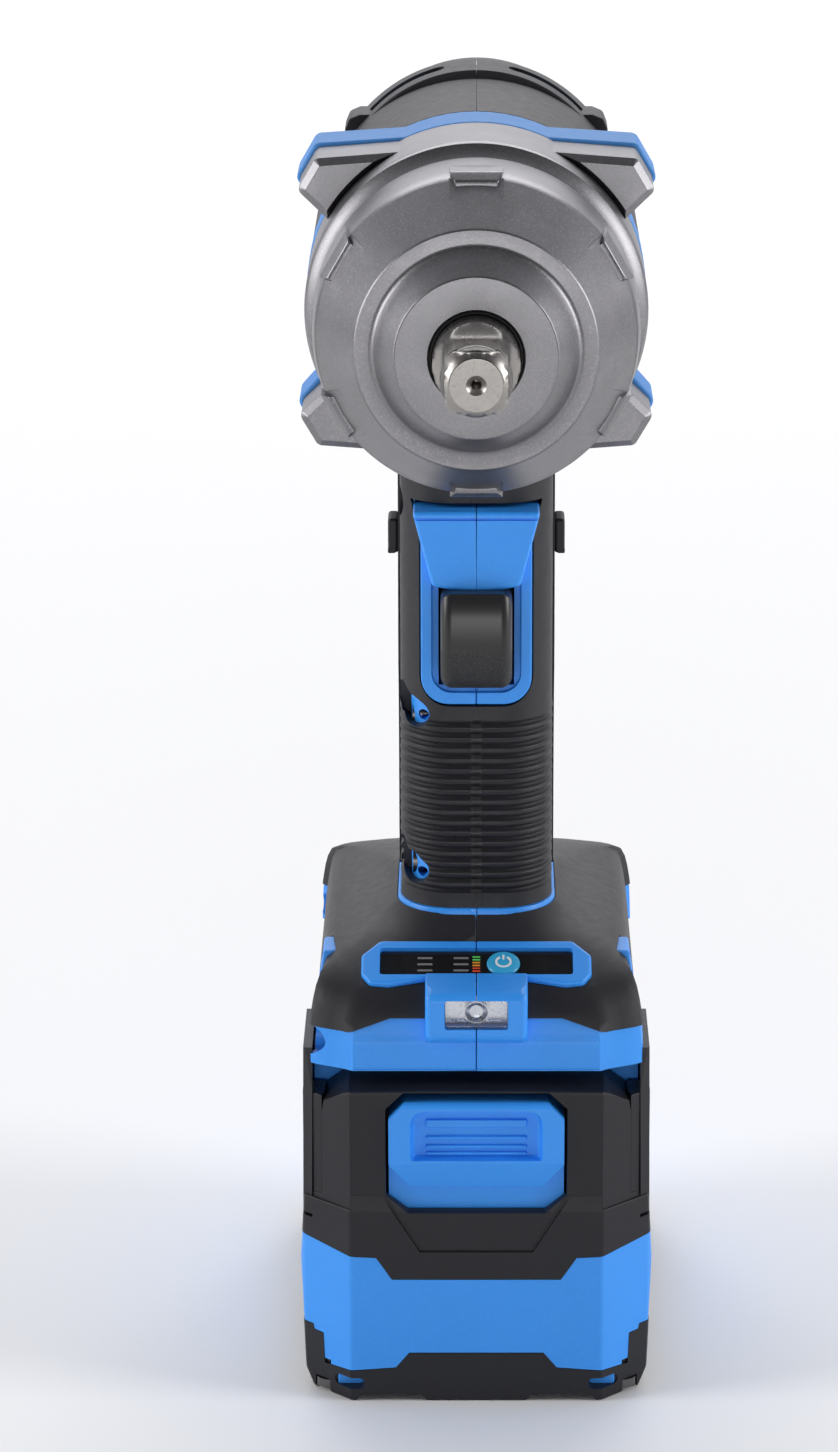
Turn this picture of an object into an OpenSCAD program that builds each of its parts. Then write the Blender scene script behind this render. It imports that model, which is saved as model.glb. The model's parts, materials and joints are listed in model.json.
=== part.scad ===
// Cordless impact wrench with a slide-on battery.
// Frame: X to the right seen from the nose, front towards -Y, Z up.
// The origin is under the middle of the whole tool, on the surface it stands on.

/* [Overall] */
// Height of the drive axis above the floor
axis_z = 244; // [243:0.5:246]
// Y of the tip of the square drive
tip_y = -105; // [-106:0.5:-104]
// Y of the rear end of the motor barrel
rear_y = 105; // [104.5:0.5:106]

/* [Drive] */
// Side of the square drive
square_w = 12.7; // [12.5:0.1:12.7]
// Radius of the round part of the anvil
anvil_r = 9; // [8.9:0.05:9]
// Radial running clearance of a shaft in its bearing
run_gap = 0.05; // [0.02:0.01:0.1]
// Y of the nose face of the hammer case
nose_y = -79.6; // [-80:0.1:-79]
// Radius of the hammer
hammer_r = 26.5; // [25.5:0.5:27]

/* [Gears] */
// Gear module
gear_m = 1; // [1:1:1]
// Teeth on the sun pinion
sun_n = 12; // [12:12:12]
// Teeth on each planet
planet_n = 21; // [21:21:21]
// Teeth on the ring gear
ring_n = 54; // [54:54:54]
// Thinning of each tooth for backlash
backlash = 0.14; // [0.1:0.01:0.2]

/* [Casing] */
// Outer radius of the hammer case's flange
flange_r = 36.5; // [36:0.1:36.5]
// Outer radius of the bumper ring
bumper_r = 38; // [37.5:0.1:38]
// Outer radius of the inner barrel shell
barrel_r = 35.2; // [35:0.1:35.4]
// Half width of the grip with its overmold
grip_w = 16.9; // [16.5:0.1:17]
// Thickness of the soft overmold
skin = 2.4; // [2:0.1:2.5]

/* [Battery] */
// Half width of the battery
pack_w = 39.6; // [39:0.1:39.8]
// Height of the battery's deck
deck_z = 46; // [46:1:46]
// Height of the joint between its two cases
split_z = 32; // [31:0.5:33]
// Radius of one cell
cell_r = 9.2; // [9:0.1:9.2]
// Clearance between the battery and the tool's foot
slide_gap = 0.4; // [0.3:0.05:0.5]

/* [Travel] */
// How far the trigger is pulled
trigger_travel = 6.5; // [5:0.5:6.5]
// How far the hammer draws back from the anvil
hammer_travel = 9; // [8.5:0.5:9]
// How far the latch button is pressed down
latch_travel = 4.2; // [3:0.1:4.2]

/* [Hidden] */

$fn = 64;
far = 200;
wall = 2.5;

// Gear train along the axis
gear_y0 = -3;
gear_y1 = 5;
orbit_r = gear_m * (sun_n + planet_n) / 2;
addendum = 0.8 * gear_m;
dedendum = 1.1 * gear_m;
pin_r = 4;
planet_count = 3;
planet_step = 360 / planet_count;
each_planet = [0:planet_count - 1];
cam_r = 8;
pilot_r = 5;
shaft_r = 4;
ball_r = 2.75;
ball_y = -33;
ear_y0 = -52;
ear_y1 = -44;
hammer_y1 = -11 - hammer_travel;
plate_y = 6;
bore_r = 32;
case_screw_x = 31.5;
case_screw_z = 26.5;

// Grip, foot and battery
trigger_y1 = -14;
stem_z = 170;
grip_y0 = -26;
grip_y1 = 22;
foot_front = -36.6;
foot_rear = 60;
foot_z = deck_z + slide_gap;
floor_z = 63;
pack_y0 = -55;
pack_y1 = 62;
lip_z = 52;
neck_w = 24;
head_w = 28;
block_top = 74;
panel_pos = [0, -38.5, 97.7];
panel_tilt = 23.4;
button_x = 6;
blade_xs = [-12, -4, 4, 12];
latch_w = 19.4;
latch_z0 = 46.8 + latch_travel;
spring_x = 13;
spring_y = -46;
cell_pitch = 18.8;
cell_mid_y = 4;
cell_z = 15.3;
post_x = 33;
post_ys = [-47.2, 55.2];

// Housing screws: Y, Z, the half width of the casing there and that of the boss
screw_sites = [[-15, 149, 16, 12], [-16, 115, 16, 12], [-15, 198, 15.5, 11.5], [-41, 81, 34.5, 32.5],
    [50, 81, 34.5, 32.5]];

// Turning and extruding helpers: outlines are given as (radius, Y), (x, z), (y, z) or (x, y)
module on_axis(y = 0) translate([0, y, axis_z]) rotate([-90, 0, 0]) children();
module turned(points) on_axis() rotate_extrude() polygon(points);
module ring(r_in, r_out, y0, y1) turned([[r_in, y0], [r_out, y0], [r_out, y1], [r_in, y1]]);
module disc(r, y0, y1) on_axis(y0) cylinder(r = r, h = y1 - y0);
module along_y(y0, y1) translate([0, y1, 0]) rotate([90, 0, 0]) linear_extrude(y1 - y0) children();
module along_x(x0, x1) translate([x0, 0, 0]) rotate([90, 0, 90]) linear_extrude(x1 - x0) children();
module box(low, high) translate(low) cube(high - low);
module wide_box(w, y0, y1, z0, z1) box([-w, y0, z0], [w, y1, z1]);
module pin_x(r, x0, x1, y, z) translate([x0, y, z]) rotate([0, 90, 0]) cylinder(r = r, h = x1 - x0);
module four_ways() for (mx = [0, 1], mz = [0, 1]) mirror([mx, 0, 0]) mirror([0, mz, 0]) children();
module both_sides() for (s = [-1, 1]) scale_x(s) children();
module scale_x(s) mirror([s < 0 ? 1 : 0, 0, 0]) children();

// Keeps the left (-1) or right (1) half
module half(side) intersection() {
    children();
    translate([side < 0 ? -far : 0, -far, -far]) cube([far, 2 * far, 3 * far]);
}

// Rectangle with round corners, from (-w, y0) to (w, y1)
module round_rect(w, y0, y1, r) {
    translate([-w, y0 + r]) square([2 * w, y1 - y0 - 2 * r]);
    translate([-w + r, y0]) square([2 * w - 2 * r, y1 - y0]);
    for (x = [-w + r, w - r], y = [y0 + r, y1 - r]) translate([x, y]) circle(r);
}

// Involute tooth flank angles
function inv_deg(r, rb) = r <= rb ? 0 : let (t = sqrt(r * r / (rb * rb) - 1)) t * 180 / PI - atan(t);
function tooth_half(r, n, slack) = let (rp = gear_m * n / 2, rb = rp * cos(20))
    90 / n - slack / rp * 90 / PI + inv_deg(rp, rb) - inv_deg(r, rb);
function spot(r, a) = [r * cos(a), r * sin(a)];

// Gear outline with n teeth, one of them centred on the x direction
function gear_points(n, r_root, r_tip, slack) = let (steps = 4) [
    for (i = [0:n - 1]) let (mid = 360 * i / n) each concat(
        [for (k = [0:steps]) let (r = r_root + (r_tip - r_root) * k / steps)
            spot(r, mid - tooth_half(r, n, slack))],
        [for (k = [steps:-1:0]) let (r = r_root + (r_tip - r_root) * k / steps)
            spot(r, mid + tooth_half(r, n, slack))])
];
module gear(n, bore) difference() {
    rp = gear_m * n / 2;
    polygon(gear_points(n, rp - dedendum, rp + addendum, backlash));
    circle(bore);
}

// Helical spring standing on the XY plane
module coil(r, wire, length, turns) {
    sides = 8;
    per_turn = 18;
    n = ceil(turns * per_turn);
    run = length - 2 * wire;
    points = [for (k = [0:n]) for (j = [0:sides - 1])
        let (a = 360 * turns * k / n, b = 360 * j / sides, rr = r + wire * cos(b))
        [rr * cos(a), rr * sin(a), wire + run * k / n + wire * sin(b)]];
    skin_faces = [for (k = [0:n - 1]) for (j = [0:sides - 1])
        let (q = (j + 1) % sides, a = k * sides, b = a + sides)
        each [[a + j, b + j, b + q], [a + j, b + q, a + q]]];
    start_cap = [for (j = [0:sides - 1]) j];
    end_cap = [for (j = [sides - 1:-1:0]) n * sides + j];
    polyhedron(points, concat([start_cap], skin_faces, [end_cap]), convexity = 10);
}

// Outline of one mounting lug, grown by g
module lug(g) polygon([[0, 0], [0, 34], [15.6, 32.8 + g], [34.5 + g / 2, 31.5 + g],
    [38.5 + g, 24.7], [32.5 + g, 18.5 - g], [30, 10]]);
module lug_prism(y0, y1, g) on_axis(y0) linear_extrude(y1 - y0) four_ways() lug(g);
module case_screw_holes(r, y0, y1) for (x = [-case_screw_x, case_screw_x], z = [-case_screw_z, case_screw_z])
    translate([x, 0, z]) disc(r, y0, y1);

// Hammer case: cast nose cone with four lugs and six cast tabs
module hammer_case() color("gray") difference() {
    union() {
        turned([[0, nose_y], [17.2, nose_y], [21.7, -72.1], [25.6, -72.1], [33.9, -58],
            [34.5, -37], [33.4, -35.2], [34.6, -33], [flange_r, -33], [flange_r, -10],
            [33, -10], [33, plate_y], [0, plate_y]]);
        intersection() {
            lug_prism(-25.2, -10, 0);
            disc(60, -30, -5);
        }
        intersection() {
            for (a = [30:60:330]) on_axis() rotate(a) translate([24, -6.5, -67]) cube([12, 13, 12]);
            turned([[0, -67], [27.6, -67], [34.4, -57], [34.4, -50], [0, -50]]);
        }
    }
    turned([[0, -90], [9.85, -90], [9.85, -77], [12, -77], [12, -53.6], [28, -53.6],
        [28, gear_y0], [31, gear_y0], [31, 20], [0, 20]]);
    case_screw_holes(2.2, -21, 0);
}

// Bumper ring between the hammer case and the motor housing
module case_bumper() color("dodgerblue") difference() {
    union() {
        disc(bumper_r, -10, 4);
        lug_prism(-10, 4, 1);
    }
    disc(33, -20, 10);
    case_screw_holes(2.4, -20, 10);
}

module nose_bushing() color("goldenrod") ring(anvil_r + run_gap, 12, -77, -53.6);

module nose_seal() color("black") turned([[anvil_r + run_gap, nose_y], [9.85, nose_y],
    [9.85, -77], [anvil_r + run_gap, -77]]);

module thrust_washer() color("silver") ring(anvil_r + 0.5, 20, -53.6, -52.4);

module ring_gear() color("silver") on_axis(gear_y0) linear_extrude(plate_y - gear_y0) difference() {
    rp = gear_m * ring_n / 2;
    circle(31);
    polygon(gear_points(ring_n, rp - addendum, rp + dedendum, -backlash));
}

// Plate that closes the gearbox and carries both front bearings
module gearbox_plate() color("silver") turned([[16, 8], [24, 8], [24, plate_y], [33, plate_y],
    [33, 14], [17, 14], [17, 21], [9.5, 21], [9.5, 15], [7, 15], [7, 14], [16, 14]]);

// Ball bearing drawn as one ring with a groove on each face
module bearing(r_in, r_out, y0, y1) {
    mid = (r_in + r_out) / 2;
    groove = (r_out - r_in) / 6;
    turned([[r_in, y0], [mid - groove, y0], [mid - groove, y0 + 0.6], [mid + groove, y0 + 0.6],
        [mid + groove, y0], [r_out, y0], [r_out, y1], [mid + groove, y1], [mid + groove, y1 - 0.6],
        [mid - groove, y1 - 0.6], [mid - groove, y1], [r_in, y1]]);
}
module carrier_bearing() color("silver") bearing(13 + run_gap, 16, 8, 14);
module front_bearing() color("silver") bearing(shaft_r + run_gap, 9.5, 15, 21);
module rear_bearing() color("silver") bearing(shaft_r + run_gap, 9.5, 84, 91);

// Stator: six teeth on a laminated ring
tooth_w = 7;
module stator_core() color("dimgray") on_axis(24) linear_extrude(40) difference() {
    union() {
        difference() {
            circle(bore_r);
            circle(27);
        }
        for (a = [0:60:300]) rotate(a) {
            translate([17, -tooth_w / 2]) square([11, tooth_w]);
            intersection() {
                translate([15, -7]) square([4, 14]);
                circle(18.6);
            }
        }
    }
    circle(16.6);
}
module stator_windings() color("chocolate") on_axis() for (a = [0:60:300]) rotate(a) difference() {
    translate([19, -6.4, 19]) cube([7, 12.8, 50]);
    translate([18, -tooth_w / 2, 24]) cube([10, tooth_w, 40]);
}
module hall_board() color("darkgreen") difference() {
    ring(8, bore_r - 4, 70.4, 72);
    for (s = [-1, 1]) translate([0, 0, s * 20]) disc(1.6, 70, 73);
}

// Shapes shared by the housing and its overmold
module barrel_core() turned([[0, 4], [barrel_r, 4], [barrel_r, 68], [32.3, 97], [28.5, 103], [22, rear_y],
    [0, rear_y]]);
module barrel_cavity() turned([[0, 0], [33, 0], [33, 14], [bore_r, 14], [bore_r, 72], [29.5, 95], [25, 101.5],
    [12.5, 101.5], [12.5, 84], [9.5, 84], [9.5, 91], [6, 91], [6, 92], [0, 92]]);
module nose_room() turned([[0, -60], [flange_r + 0.4, -60], [flange_r + 0.4, -10], [bumper_r, -10],
    [bumper_r, 4], [0, 4]]);
module ears() intersection() {
    lug_prism(4, 11, 0.4);
    disc(60, 4, 11);
}
module grip_prism(inset, z0, z1) translate([0, 0, z0]) linear_extrude(z1 - z0)
    round_rect(grip_w - inset, grip_y0 + inset, grip_y1 - inset, 12 - inset);
module chin() along_y(-30, -12) polygon([[-14.1, 199], [14.1, 199], [9.7, 181.5], [-9.7, 181.5]]);
module trigger_frame() wide_box(12.3, -25.5, -12, 154, 184);
module trigger_room() wide_box(8.3, -50, trigger_y1 + trigger_travel + 0.5, 158.4, 182);
module switch_slot() wide_box(far, -9.4, -0.6, 184, 192.5);
module on_panel() translate(panel_pos) rotate([panel_tilt, 0, 0]) children();
module panel_frame() on_panel() wide_box(25.5, -7.4, 7.4, -6, 1.3);
module lamp_box() wide_box(11.3, -55, -42, 84, 97.2);
module side_vents() for (i = [0:3]) wide_box(far, 74 + 5 * i, 76.4 + 5 * i, axis_z - 12, axis_z + 12);
module foot_vents() for (i = [0:2]) both_sides() box([30, -30, 80.5 + 6 * i], [40, -22, 84 + 6 * i]);

// Foot of the tool, with its skin taken off by t
module foot(t) intersection() {
    along_y(-60, 70) polygon([[-36.3 + t, foot_z], [36.3 - t, foot_z], [35.8 - t, 84], [33.8 - t, 98 - t],
        [30 - t, 100.5 - t], [19 - t / 2, 106 - t], [-19 + t / 2, 106 - t], [-30 + t, 100.5 - t],
        [-33.8 + t, 98 - t], [-35.8 + t, 84]]);
    along_x(-50, 50) polygon([[foot_front, foot_z], [foot_rear - t, foot_z], [foot_rear - t, 88],
        [54 - t, 97 - t], [24, 106 - t], [-27 + t, 106 - t], [-31 + t, 101 - t], [-46 + t, 94.5 - t],
        [-50 + t, 89 - t / 2], [-51 + t, 77.4], [foot_front, 77.4]]);
}
module above(z) translate([-far, -far, z]) cube([2 * far, 2 * far, far]);
module below(z) translate([-far, -far, z - far]) cube([2 * far, 2 * far, far]);

module housing_bosses() for (s = screw_sites) pin_x(4.2, -s[3], s[3], s[0], s[1]);
module screw_cuts() for (s = screw_sites) {
    pin_x(1.5, -s[2], 9, s[0], s[1]);
    pin_x(3.3, -far, -s[2] + 4, s[0], s[1]);
}

// Both halves of the clamshell in one piece
module housing() difference() {
    union() {
        difference() {
            union() {
                barrel_core();
                ears();
                grip_prism(skin, 98, 214);
                chin();
                trigger_frame();
                foot(skin);
                intersection() {
                    foot(0);
                    below(86);
                }
                intersection() {
                    grip_prism(-0.6, 104, 107);
                    above(104);
                }
                panel_frame();
                lamp_box();
            }
            barrel_cavity();
            nose_room();
            grip_prism(skin + wall, 90, 203);
            wide_box(9, 5, 17, 200, 216);
            intersection() {
                foot(2 * wall);
                above(66);
            }
            trigger_room();
        }
        housing_bosses();
    }
    screw_cuts();
    case_screw_holes(2.4, 0, 20);
    switch_slot();
    side_vents();
    foot_vents();
    along_y(-60, 54) polygon([[-neck_w, 40], [neck_w, 40], [neck_w, lip_z], [head_w, lip_z],
        [head_w, floor_z], [-head_w, floor_z], [-head_w, lip_z], [-neck_w, lip_z]]);
    wide_box(9, -40, -33, 54, 70);
    on_panel() wide_box(21.5, -4.6, 4.6, -1.5, 5);
    on_panel() translate([button_x, 0, -8]) cylinder(r = 4.1, h = 10);
    wide_box(6.9, -60, -48.5, 88.5, 95);
}
module housing_left() color("dodgerblue") half(-1) housing();
module housing_right() color("dodgerblue") half(1) housing();

// Soft black skin over the barrel, the grip and the shoulders of the foot
module overmold() difference() {
    union() {
        turned([[0, 4], [37, 4], [37, 50], [38.3, 50], [38.6, 58], [39, 64], [38.3, 68],
            [35.2, 90], [32.8, 99], [30.4, 102], [0, 102]]);
        grip_prism(0, 107, 214);
        intersection() {
            foot(0);
            above(86);
        }
    }
    barrel_core();
    ears();
    nose_room();
    grip_prism(skin, 80, 214);
    grip_prism(-0.6, 104, 107);
    foot(skin);
    chin();
    panel_frame();
    lamp_box();
    switch_slot();
    side_vents();
    foot_vents();
    screw_cuts();
    for (s = [-1, 1]) on_axis(55) rotate(s * 27.5 - 90) translate([30, -11, 0]) cube([12, 22, 8]);
    wide_box(12.3, -far, -12, 154, 184);
}
module overmold_left() color("black") half(-1) overmold();
module overmold_right() color("black") half(1) overmold();

// Four screws from behind the ears into the hammer case
module case_screws() color("silver") for (x = [-case_screw_x, case_screw_x], z = [-case_screw_z, case_screw_z])
    translate([x, 0, z]) difference() {
        union() {
            disc(2.2, -20.5, 11);
            disc(4, 11, 14.6);
        }
        on_axis(12.4) cylinder(r = 2, h = 5, $fn = 6);
    }

module housing_screws() color("silver") for (s = screw_sites) difference() {
    union() {
        pin_x(1.5, -s[2] + 4, 8.5, s[0], s[1]);
        pin_x(2.9, -s[2] + 1.8, -s[2] + 4, s[0], s[1]);
    }
    translate([-s[2] + 1, s[0], s[1]]) rotate([0, 90, 0]) cylinder(r = 1.3, h = 2.2, $fn = 6);
}

// Speed switch behind the trigger, with the bore its stem slides in
module trigger_switch() color("dimgray") difference() {
    intersection() {
        grip_prism(skin + wall, 150, 190);
        union() {
            wide_box(far, -6, 13.4, 160, 182);
            wide_box(8, -4, 8, 152, 160);
        }
    }
    translate([0, -7, stem_z]) rotate([-90, 0, 0]) cylinder(r = 3, h = 10);
}

module control_board() color("darkgreen") union() {
    wide_box(25, -26, 46, 68, 70);
    wide_box(20, -14, 40, 70, 80);
    wide_box(20, -22, -17, 70, 74);
    for (y = [-20, 40]) wide_box(20, y, y + 4, 66, 68);
}

module motor_leads() color("firebrick") for (x = [-5, 0, 5])
    translate([x, 15.6, 80]) cylinder(r = 1.3, h = 136);

// Panel with a row of indicator bars and the hole for its button
module display_panel() color("black") on_panel() difference() {
    union() {
        wide_box(21.5, -4.6, 4.6, -1.5, 0.5);
        for (i = [0:2], x = [-12, -5.6]) translate([x, -2.4 + 2.2 * i, 0.5]) cube([4.6, 0.9, 0.2]);
    }
    translate([button_x, 0, -5]) cylinder(r = 4, h = 10);
}
module power_button() color("deepskyblue") on_panel() translate([button_x, 0, -1.2]) difference() {
    cylinder(r = 3.7, h = 2.4);
    translate([0, 0, 2.1]) difference() {
        cylinder(r = 1.9, h = 1);
        cylinder(r = 1.3, h = 1);
    }
}

module led_lens() color("white") union() {
    wide_box(6.9, -54.4, -52.6, 88.5, 95);
    translate([0, -52.6, 91.7]) rotate([-90, 0, 0]) cylinder(r = 2.6, h = 2);
}
module led_board() color("darkgreen") union() {
    wide_box(6.9, -50, -48.6, 88.5, 95);
    wide_box(1.2, -50.5, -50, 90.5, 92.9);
}

module terminal_block() color("dimgray") union() {
    wide_box(16, 46.6, 54, lip_z, floor_z);
    for (x = blade_xs) box([x - 0.4, 29, 53.4], [x + 0.4, 46.6, 60]);
}

// Anvil: square drive, round shank, and two ears that the hammer strikes
module anvil() color("silver") difference() {
    union() {
        intersection() {
            turned([[0, tip_y], [5.7, tip_y], [6.8, tip_y + 1.2], [7.9, tip_y + 2.6], [7.9, -90],
                [anvil_r, -86], [anvil_r, -80], [0, -80]]);
            union() {
                along_y(tip_y, -80) translate([-square_w / 2, axis_z - square_w / 2]) square(square_w);
                turned([[0, -92], [square_w / 2, -92], [anvil_r, -86.5], [anvil_r, -80], [0, -80]]);
            }
        }
        disc(anvil_r, -86, ear_y1);
        intersection() {
            wide_box(24, ear_y0, ear_y1, axis_z - 6.5, axis_z + 6.5);
            disc(24, ear_y0, ear_y1);
        }
    }
    ring(5.9, 12, tip_y + 3.4, tip_y + 5.6);
    turned([[0, tip_y - 1], [1.7, tip_y - 1], [1.7, tip_y], [0.75, tip_y + 1.2], [0.75, tip_y + 6], [0, tip_y + 6]]);
    disc(pilot_r, -59, -40);
}
module retaining_ring() color("dimgray") ring(5.9, 6.9, tip_y + 3.5, tip_y + 5.5);

// Cam shaft and planet carrier, turned from one piece
module cam_carrier() color("lightgray") difference() {
    union() {
        disc(pilot_r - run_gap, -58, ear_y1 + 0.4);
        disc(cam_r, ear_y1 + 0.4, -8);
        disc(23, -8, gear_y0 - 0.5);
        ring(8.5, 23, gear_y1 + 0.5, gear_y1 + 2.5);
        ring(8.5, 13, gear_y1 + 2.5, 13.6);
        for (i = each_planet) on_axis(-6) rotate(60 + planet_step * i) translate([19.6, 0, 0]) cylinder(r = 2.8, h = 12);
    }
    for (i = each_planet) on_axis(-20) rotate(planet_step * i) translate([orbit_r, 0, 0]) cylinder(r = pin_r - run_gap, h = 40);
    for (a = [0, 180]) on_axis(ball_y) rotate(a) translate([cam_r, 0, 0]) {
        sphere(ball_r + 0.05);
        cylinder(r = ball_r + 0.05, h = 6);
    }
}
module planet_pins() color("silver") for (i = each_planet) on_axis(-8) rotate(planet_step * i)
    translate([orbit_r, 0, 0]) cylinder(r = pin_r - run_gap, h = gear_y1 + 2.5 + 8);
module cam_balls() color("silver") for (a = [0, 180]) on_axis(ball_y) rotate(a)
    translate([cam_r, 0, 0]) sphere(ball_r);

// Ring-shaped hammer with two striking lugs and the seat of its spring
module hammer() color("darkgray") difference() {
    union() {
        disc(hammer_r, ear_y1 + 0.4, hammer_y1);
        intersection() {
            wide_box(7.5, -50.8, -43, axis_z - 40, axis_z + 40);
            ring(12, hammer_r - 0.8, -50.8, -43);
        }
    }
    disc(cam_r + run_gap, -60, 0);
    ring(12.4, 22.4, -29, -10);
    for (a = [0, 180]) on_axis() rotate(a) translate([cam_r, 0, -60]) cylinder(r = ball_r + 0.3, h = 60 + ball_y + 4);
}
module hammer_spring() color("silver") on_axis(-28.9) coil(17.4, 1.8, 20.8, 3.2);

module planet(i) color("silver") on_axis(gear_y0) rotate(planet_step * i) translate([orbit_r, 0, 0])
    linear_extrude(gear_y1 - gear_y0) gear(planet_n, pin_r);
module planet_gear_1() planet(0);
module planet_gear_2() planet(1);
module planet_gear_3() planet(2);

// Rotor with four buried magnets
module rotor_shaft() color("silver") union() {
    disc(shaft_r, gear_y0, 91.4);
    ring(shaft_r, 6.5, 23, 26);
}
module sun_pinion() color("silver") on_axis(gear_y0) linear_extrude(gear_y1 - gear_y0) gear(sun_n, shaft_r);
module magnet_cuts() for (a = [45:90:315]) on_axis(26) rotate(a) translate([10.6, -6.5, 0]) cube([2.6, 13, 36]);
module rotor_core() color("gray") difference() {
    ring(shaft_r, 16, 26, 62);
    magnet_cuts();
}
module rotor_magnets() color("slategray") magnet_cuts();
module cooling_fan() color("black") union() {
    ring(shaft_r, 10, 73.4, 82);
    ring(10, 27, 73.4, 74.8);
    for (a = [0:30:330]) on_axis(74.8) rotate(a) translate([9.5, -0.7, 0]) cube([17, 1.4, 6.4]);
}

// Trigger with its stem
module trigger() color("black") union() {
    difference() {
        along_x(-7.9, 7.9) polygon([[-32.6, 181.4], [-34.4, 177], [-35, 170], [-34.2, 164], [-32, 160.4],
            [-28.5, 158.9], [trigger_y1, 158.9], [trigger_y1, 181.4]]);
        wide_box(6, -26, -12, 163, 168);
    }
    translate([0, trigger_y1, stem_z]) rotate([-90, 0, 0]) cylinder(r = 2.5, h = 9);
}
module trigger_spring() color("silver") translate([0, trigger_y1 + 0.1, stem_z]) rotate([-90, 0, 0]) coil(4.2, 0.5, 7.8, 4);

// Forward and reverse bar that passes through the neck
module direction_switch() color("black") union() {
    wide_box(19.7, -8.8, -1.2, 184.6, 191.9);
    both_sides() box([17.6, -9.2, 184.3], [19.7, -0.8, 192.2]);
}

// Outer shape of the battery
module pack_body() intersection() {
    along_y(pack_y0, pack_y1) polygon([[-36.5, 0], [36.5, 0], [38.4, 4], [pack_w, 30], [38.6, deck_z],
        [-38.6, deck_z], [-pack_w, 30], [-38.4, 4]]);
    translate([0, 0, -1]) linear_extrude(100) polygon([[-pack_w, -44], [-28, pack_y0], [28, pack_y0],
        [pack_w, -44], [pack_w, 55], [34, pack_y1], [-34, pack_y1], [-pack_w, 55]]);
}
module pack_block() intersection() {
    along_y(pack_y0, -37) polygon([[-38.6, deck_z], [38.6, deck_z], [37.6, 55], [33, 68],
        [28, block_top], [-28, block_top], [-33, 68], [-37.6, 55]]);
    translate([0, 0, 40]) linear_extrude(50) polygon([[-pack_w, -44], [-28, pack_y0], [28, pack_y0],
        [pack_w, -44], [pack_w, -37], [-pack_w, -37]]);
}
module cell_room() wide_box(36.4, pack_y0 + wall + 1, pack_y1 - wall, 5, 44);
module posts(r, z0, z1) for (x = [-post_x, post_x], y = post_ys) translate([x, y, z0]) cylinder(r = r, h = z1 - z0);

// Upper case: deck, rails, and the front block that holds the latch
module battery_upper_case() color("black") difference() {
    union() {
        difference() {
            union() {
                intersection() {
                    pack_body();
                    above(split_z);
                }
                pack_block();
                wide_box(neck_w - slide_gap, -38, 45, deck_z, lip_z + 0.3);
                wide_box(head_w - slide_gap, -38, 45, lip_z + 0.3, floor_z - 0.5);
            }
            cell_room();
            wide_box(20.5, -30, 26, 40, 60.4);
        }
        intersection() {
            posts(3.6, 12, deck_z);
            cell_room();
        }
    }
    posts(1.5, 0, 34);
    wide_box(20.4, pack_y0 + wall, -49.1, 36, 72);
    wide_box(20.4, -49.2, -39.6, deck_z, 72);
    wide_box(latch_w + slide_gap, -60, -50, 46.4, 71.8);
    wide_box(8.6, -42, -33, 54.6, 67);
    for (x = blade_xs) box([x - 1.2, 27.4, 50.6], [x + 1.2, 50, 70]);
}

// Corner guards and skid plate
module guard_corners() intersection() {
    pack_body();
    difference() {
        both_sides() {
            box([30, -60, 3], [50, -38, 12]);
            box([30, 44, 3], [50, 70, 12]);
        }
        wide_box(36.4, pack_y0 + wall + 1, pack_y1 - wall, -1, 40);
    }
}
module screw_wells(r, z1) for (x = [-post_x, post_x], y = post_ys) translate([x, y, -1]) cylinder(r = r, h = z1 + 1);
module battery_guard() color("black") difference() {
    union() {
        intersection() {
            pack_body();
            wide_box(far, -far, far, -1, 3);
        }
        guard_corners();
    }
    screw_wells(3.2, 3);
}
module battery_lower_case() color("dodgerblue") difference() {
    intersection() {
        pack_body();
        wide_box(far, -far, far, 3, split_z);
    }
    cell_room();
    guard_corners();
    screw_wells(1.7, 20);
    wide_box(20.4, pack_y0 + wall, -49.1, 30.9, 36);
}
module battery_screws() color("silver") for (x = [-post_x, post_x], y = post_ys) translate([x, y, 0]) difference() {
    union() {
        translate([0, 0, 1]) cylinder(r = 2.9, h = 2);
        translate([0, 0, 3]) cylinder(r = 1.5, h = 30);
    }
    translate([0, 0, 0.5]) cylinder(r = 1.2, h = 2, $fn = 6);
}

module each_cell() for (row = [-2:2], layer = [0:1])
    translate([0, cell_mid_y + cell_pitch * row, cell_z + 18.6 * layer]) children();
module battery_cells() color("seagreen") each_cell() {
    rotate([0, 90, 0]) translate([0, 0, -32.5]) cylinder(r = cell_r, h = 64);
    rotate([0, 90, 0]) translate([0, 0, 31.5]) cylinder(r = 3, h = 1.2);
}
module cell_holder() color("darkgray") difference() {
    both_sides() box([22, -44.4, 5], [29, 52.4, 44]);
    each_cell() rotate([0, 90, 0]) translate([0, 0, -40]) cylinder(r = cell_r, h = 80);
}
module battery_board() color("darkgreen") union() {
    wide_box(18, -26, 22, 47, 48.6);
    for (y = [-20, 12]) wide_box(14, y, y + 6, 48.6, 52);
    for (y = [-22, 16]) wide_box(12, y, y + 4, 44, 47);
}
module battery_contacts() color("gold") for (x = blade_xs, s = [-1, 1])
    box([x + s * 0.95 - 0.25, 29, 51], [x + s * 0.95 + 0.25, 43, 59]);

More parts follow.
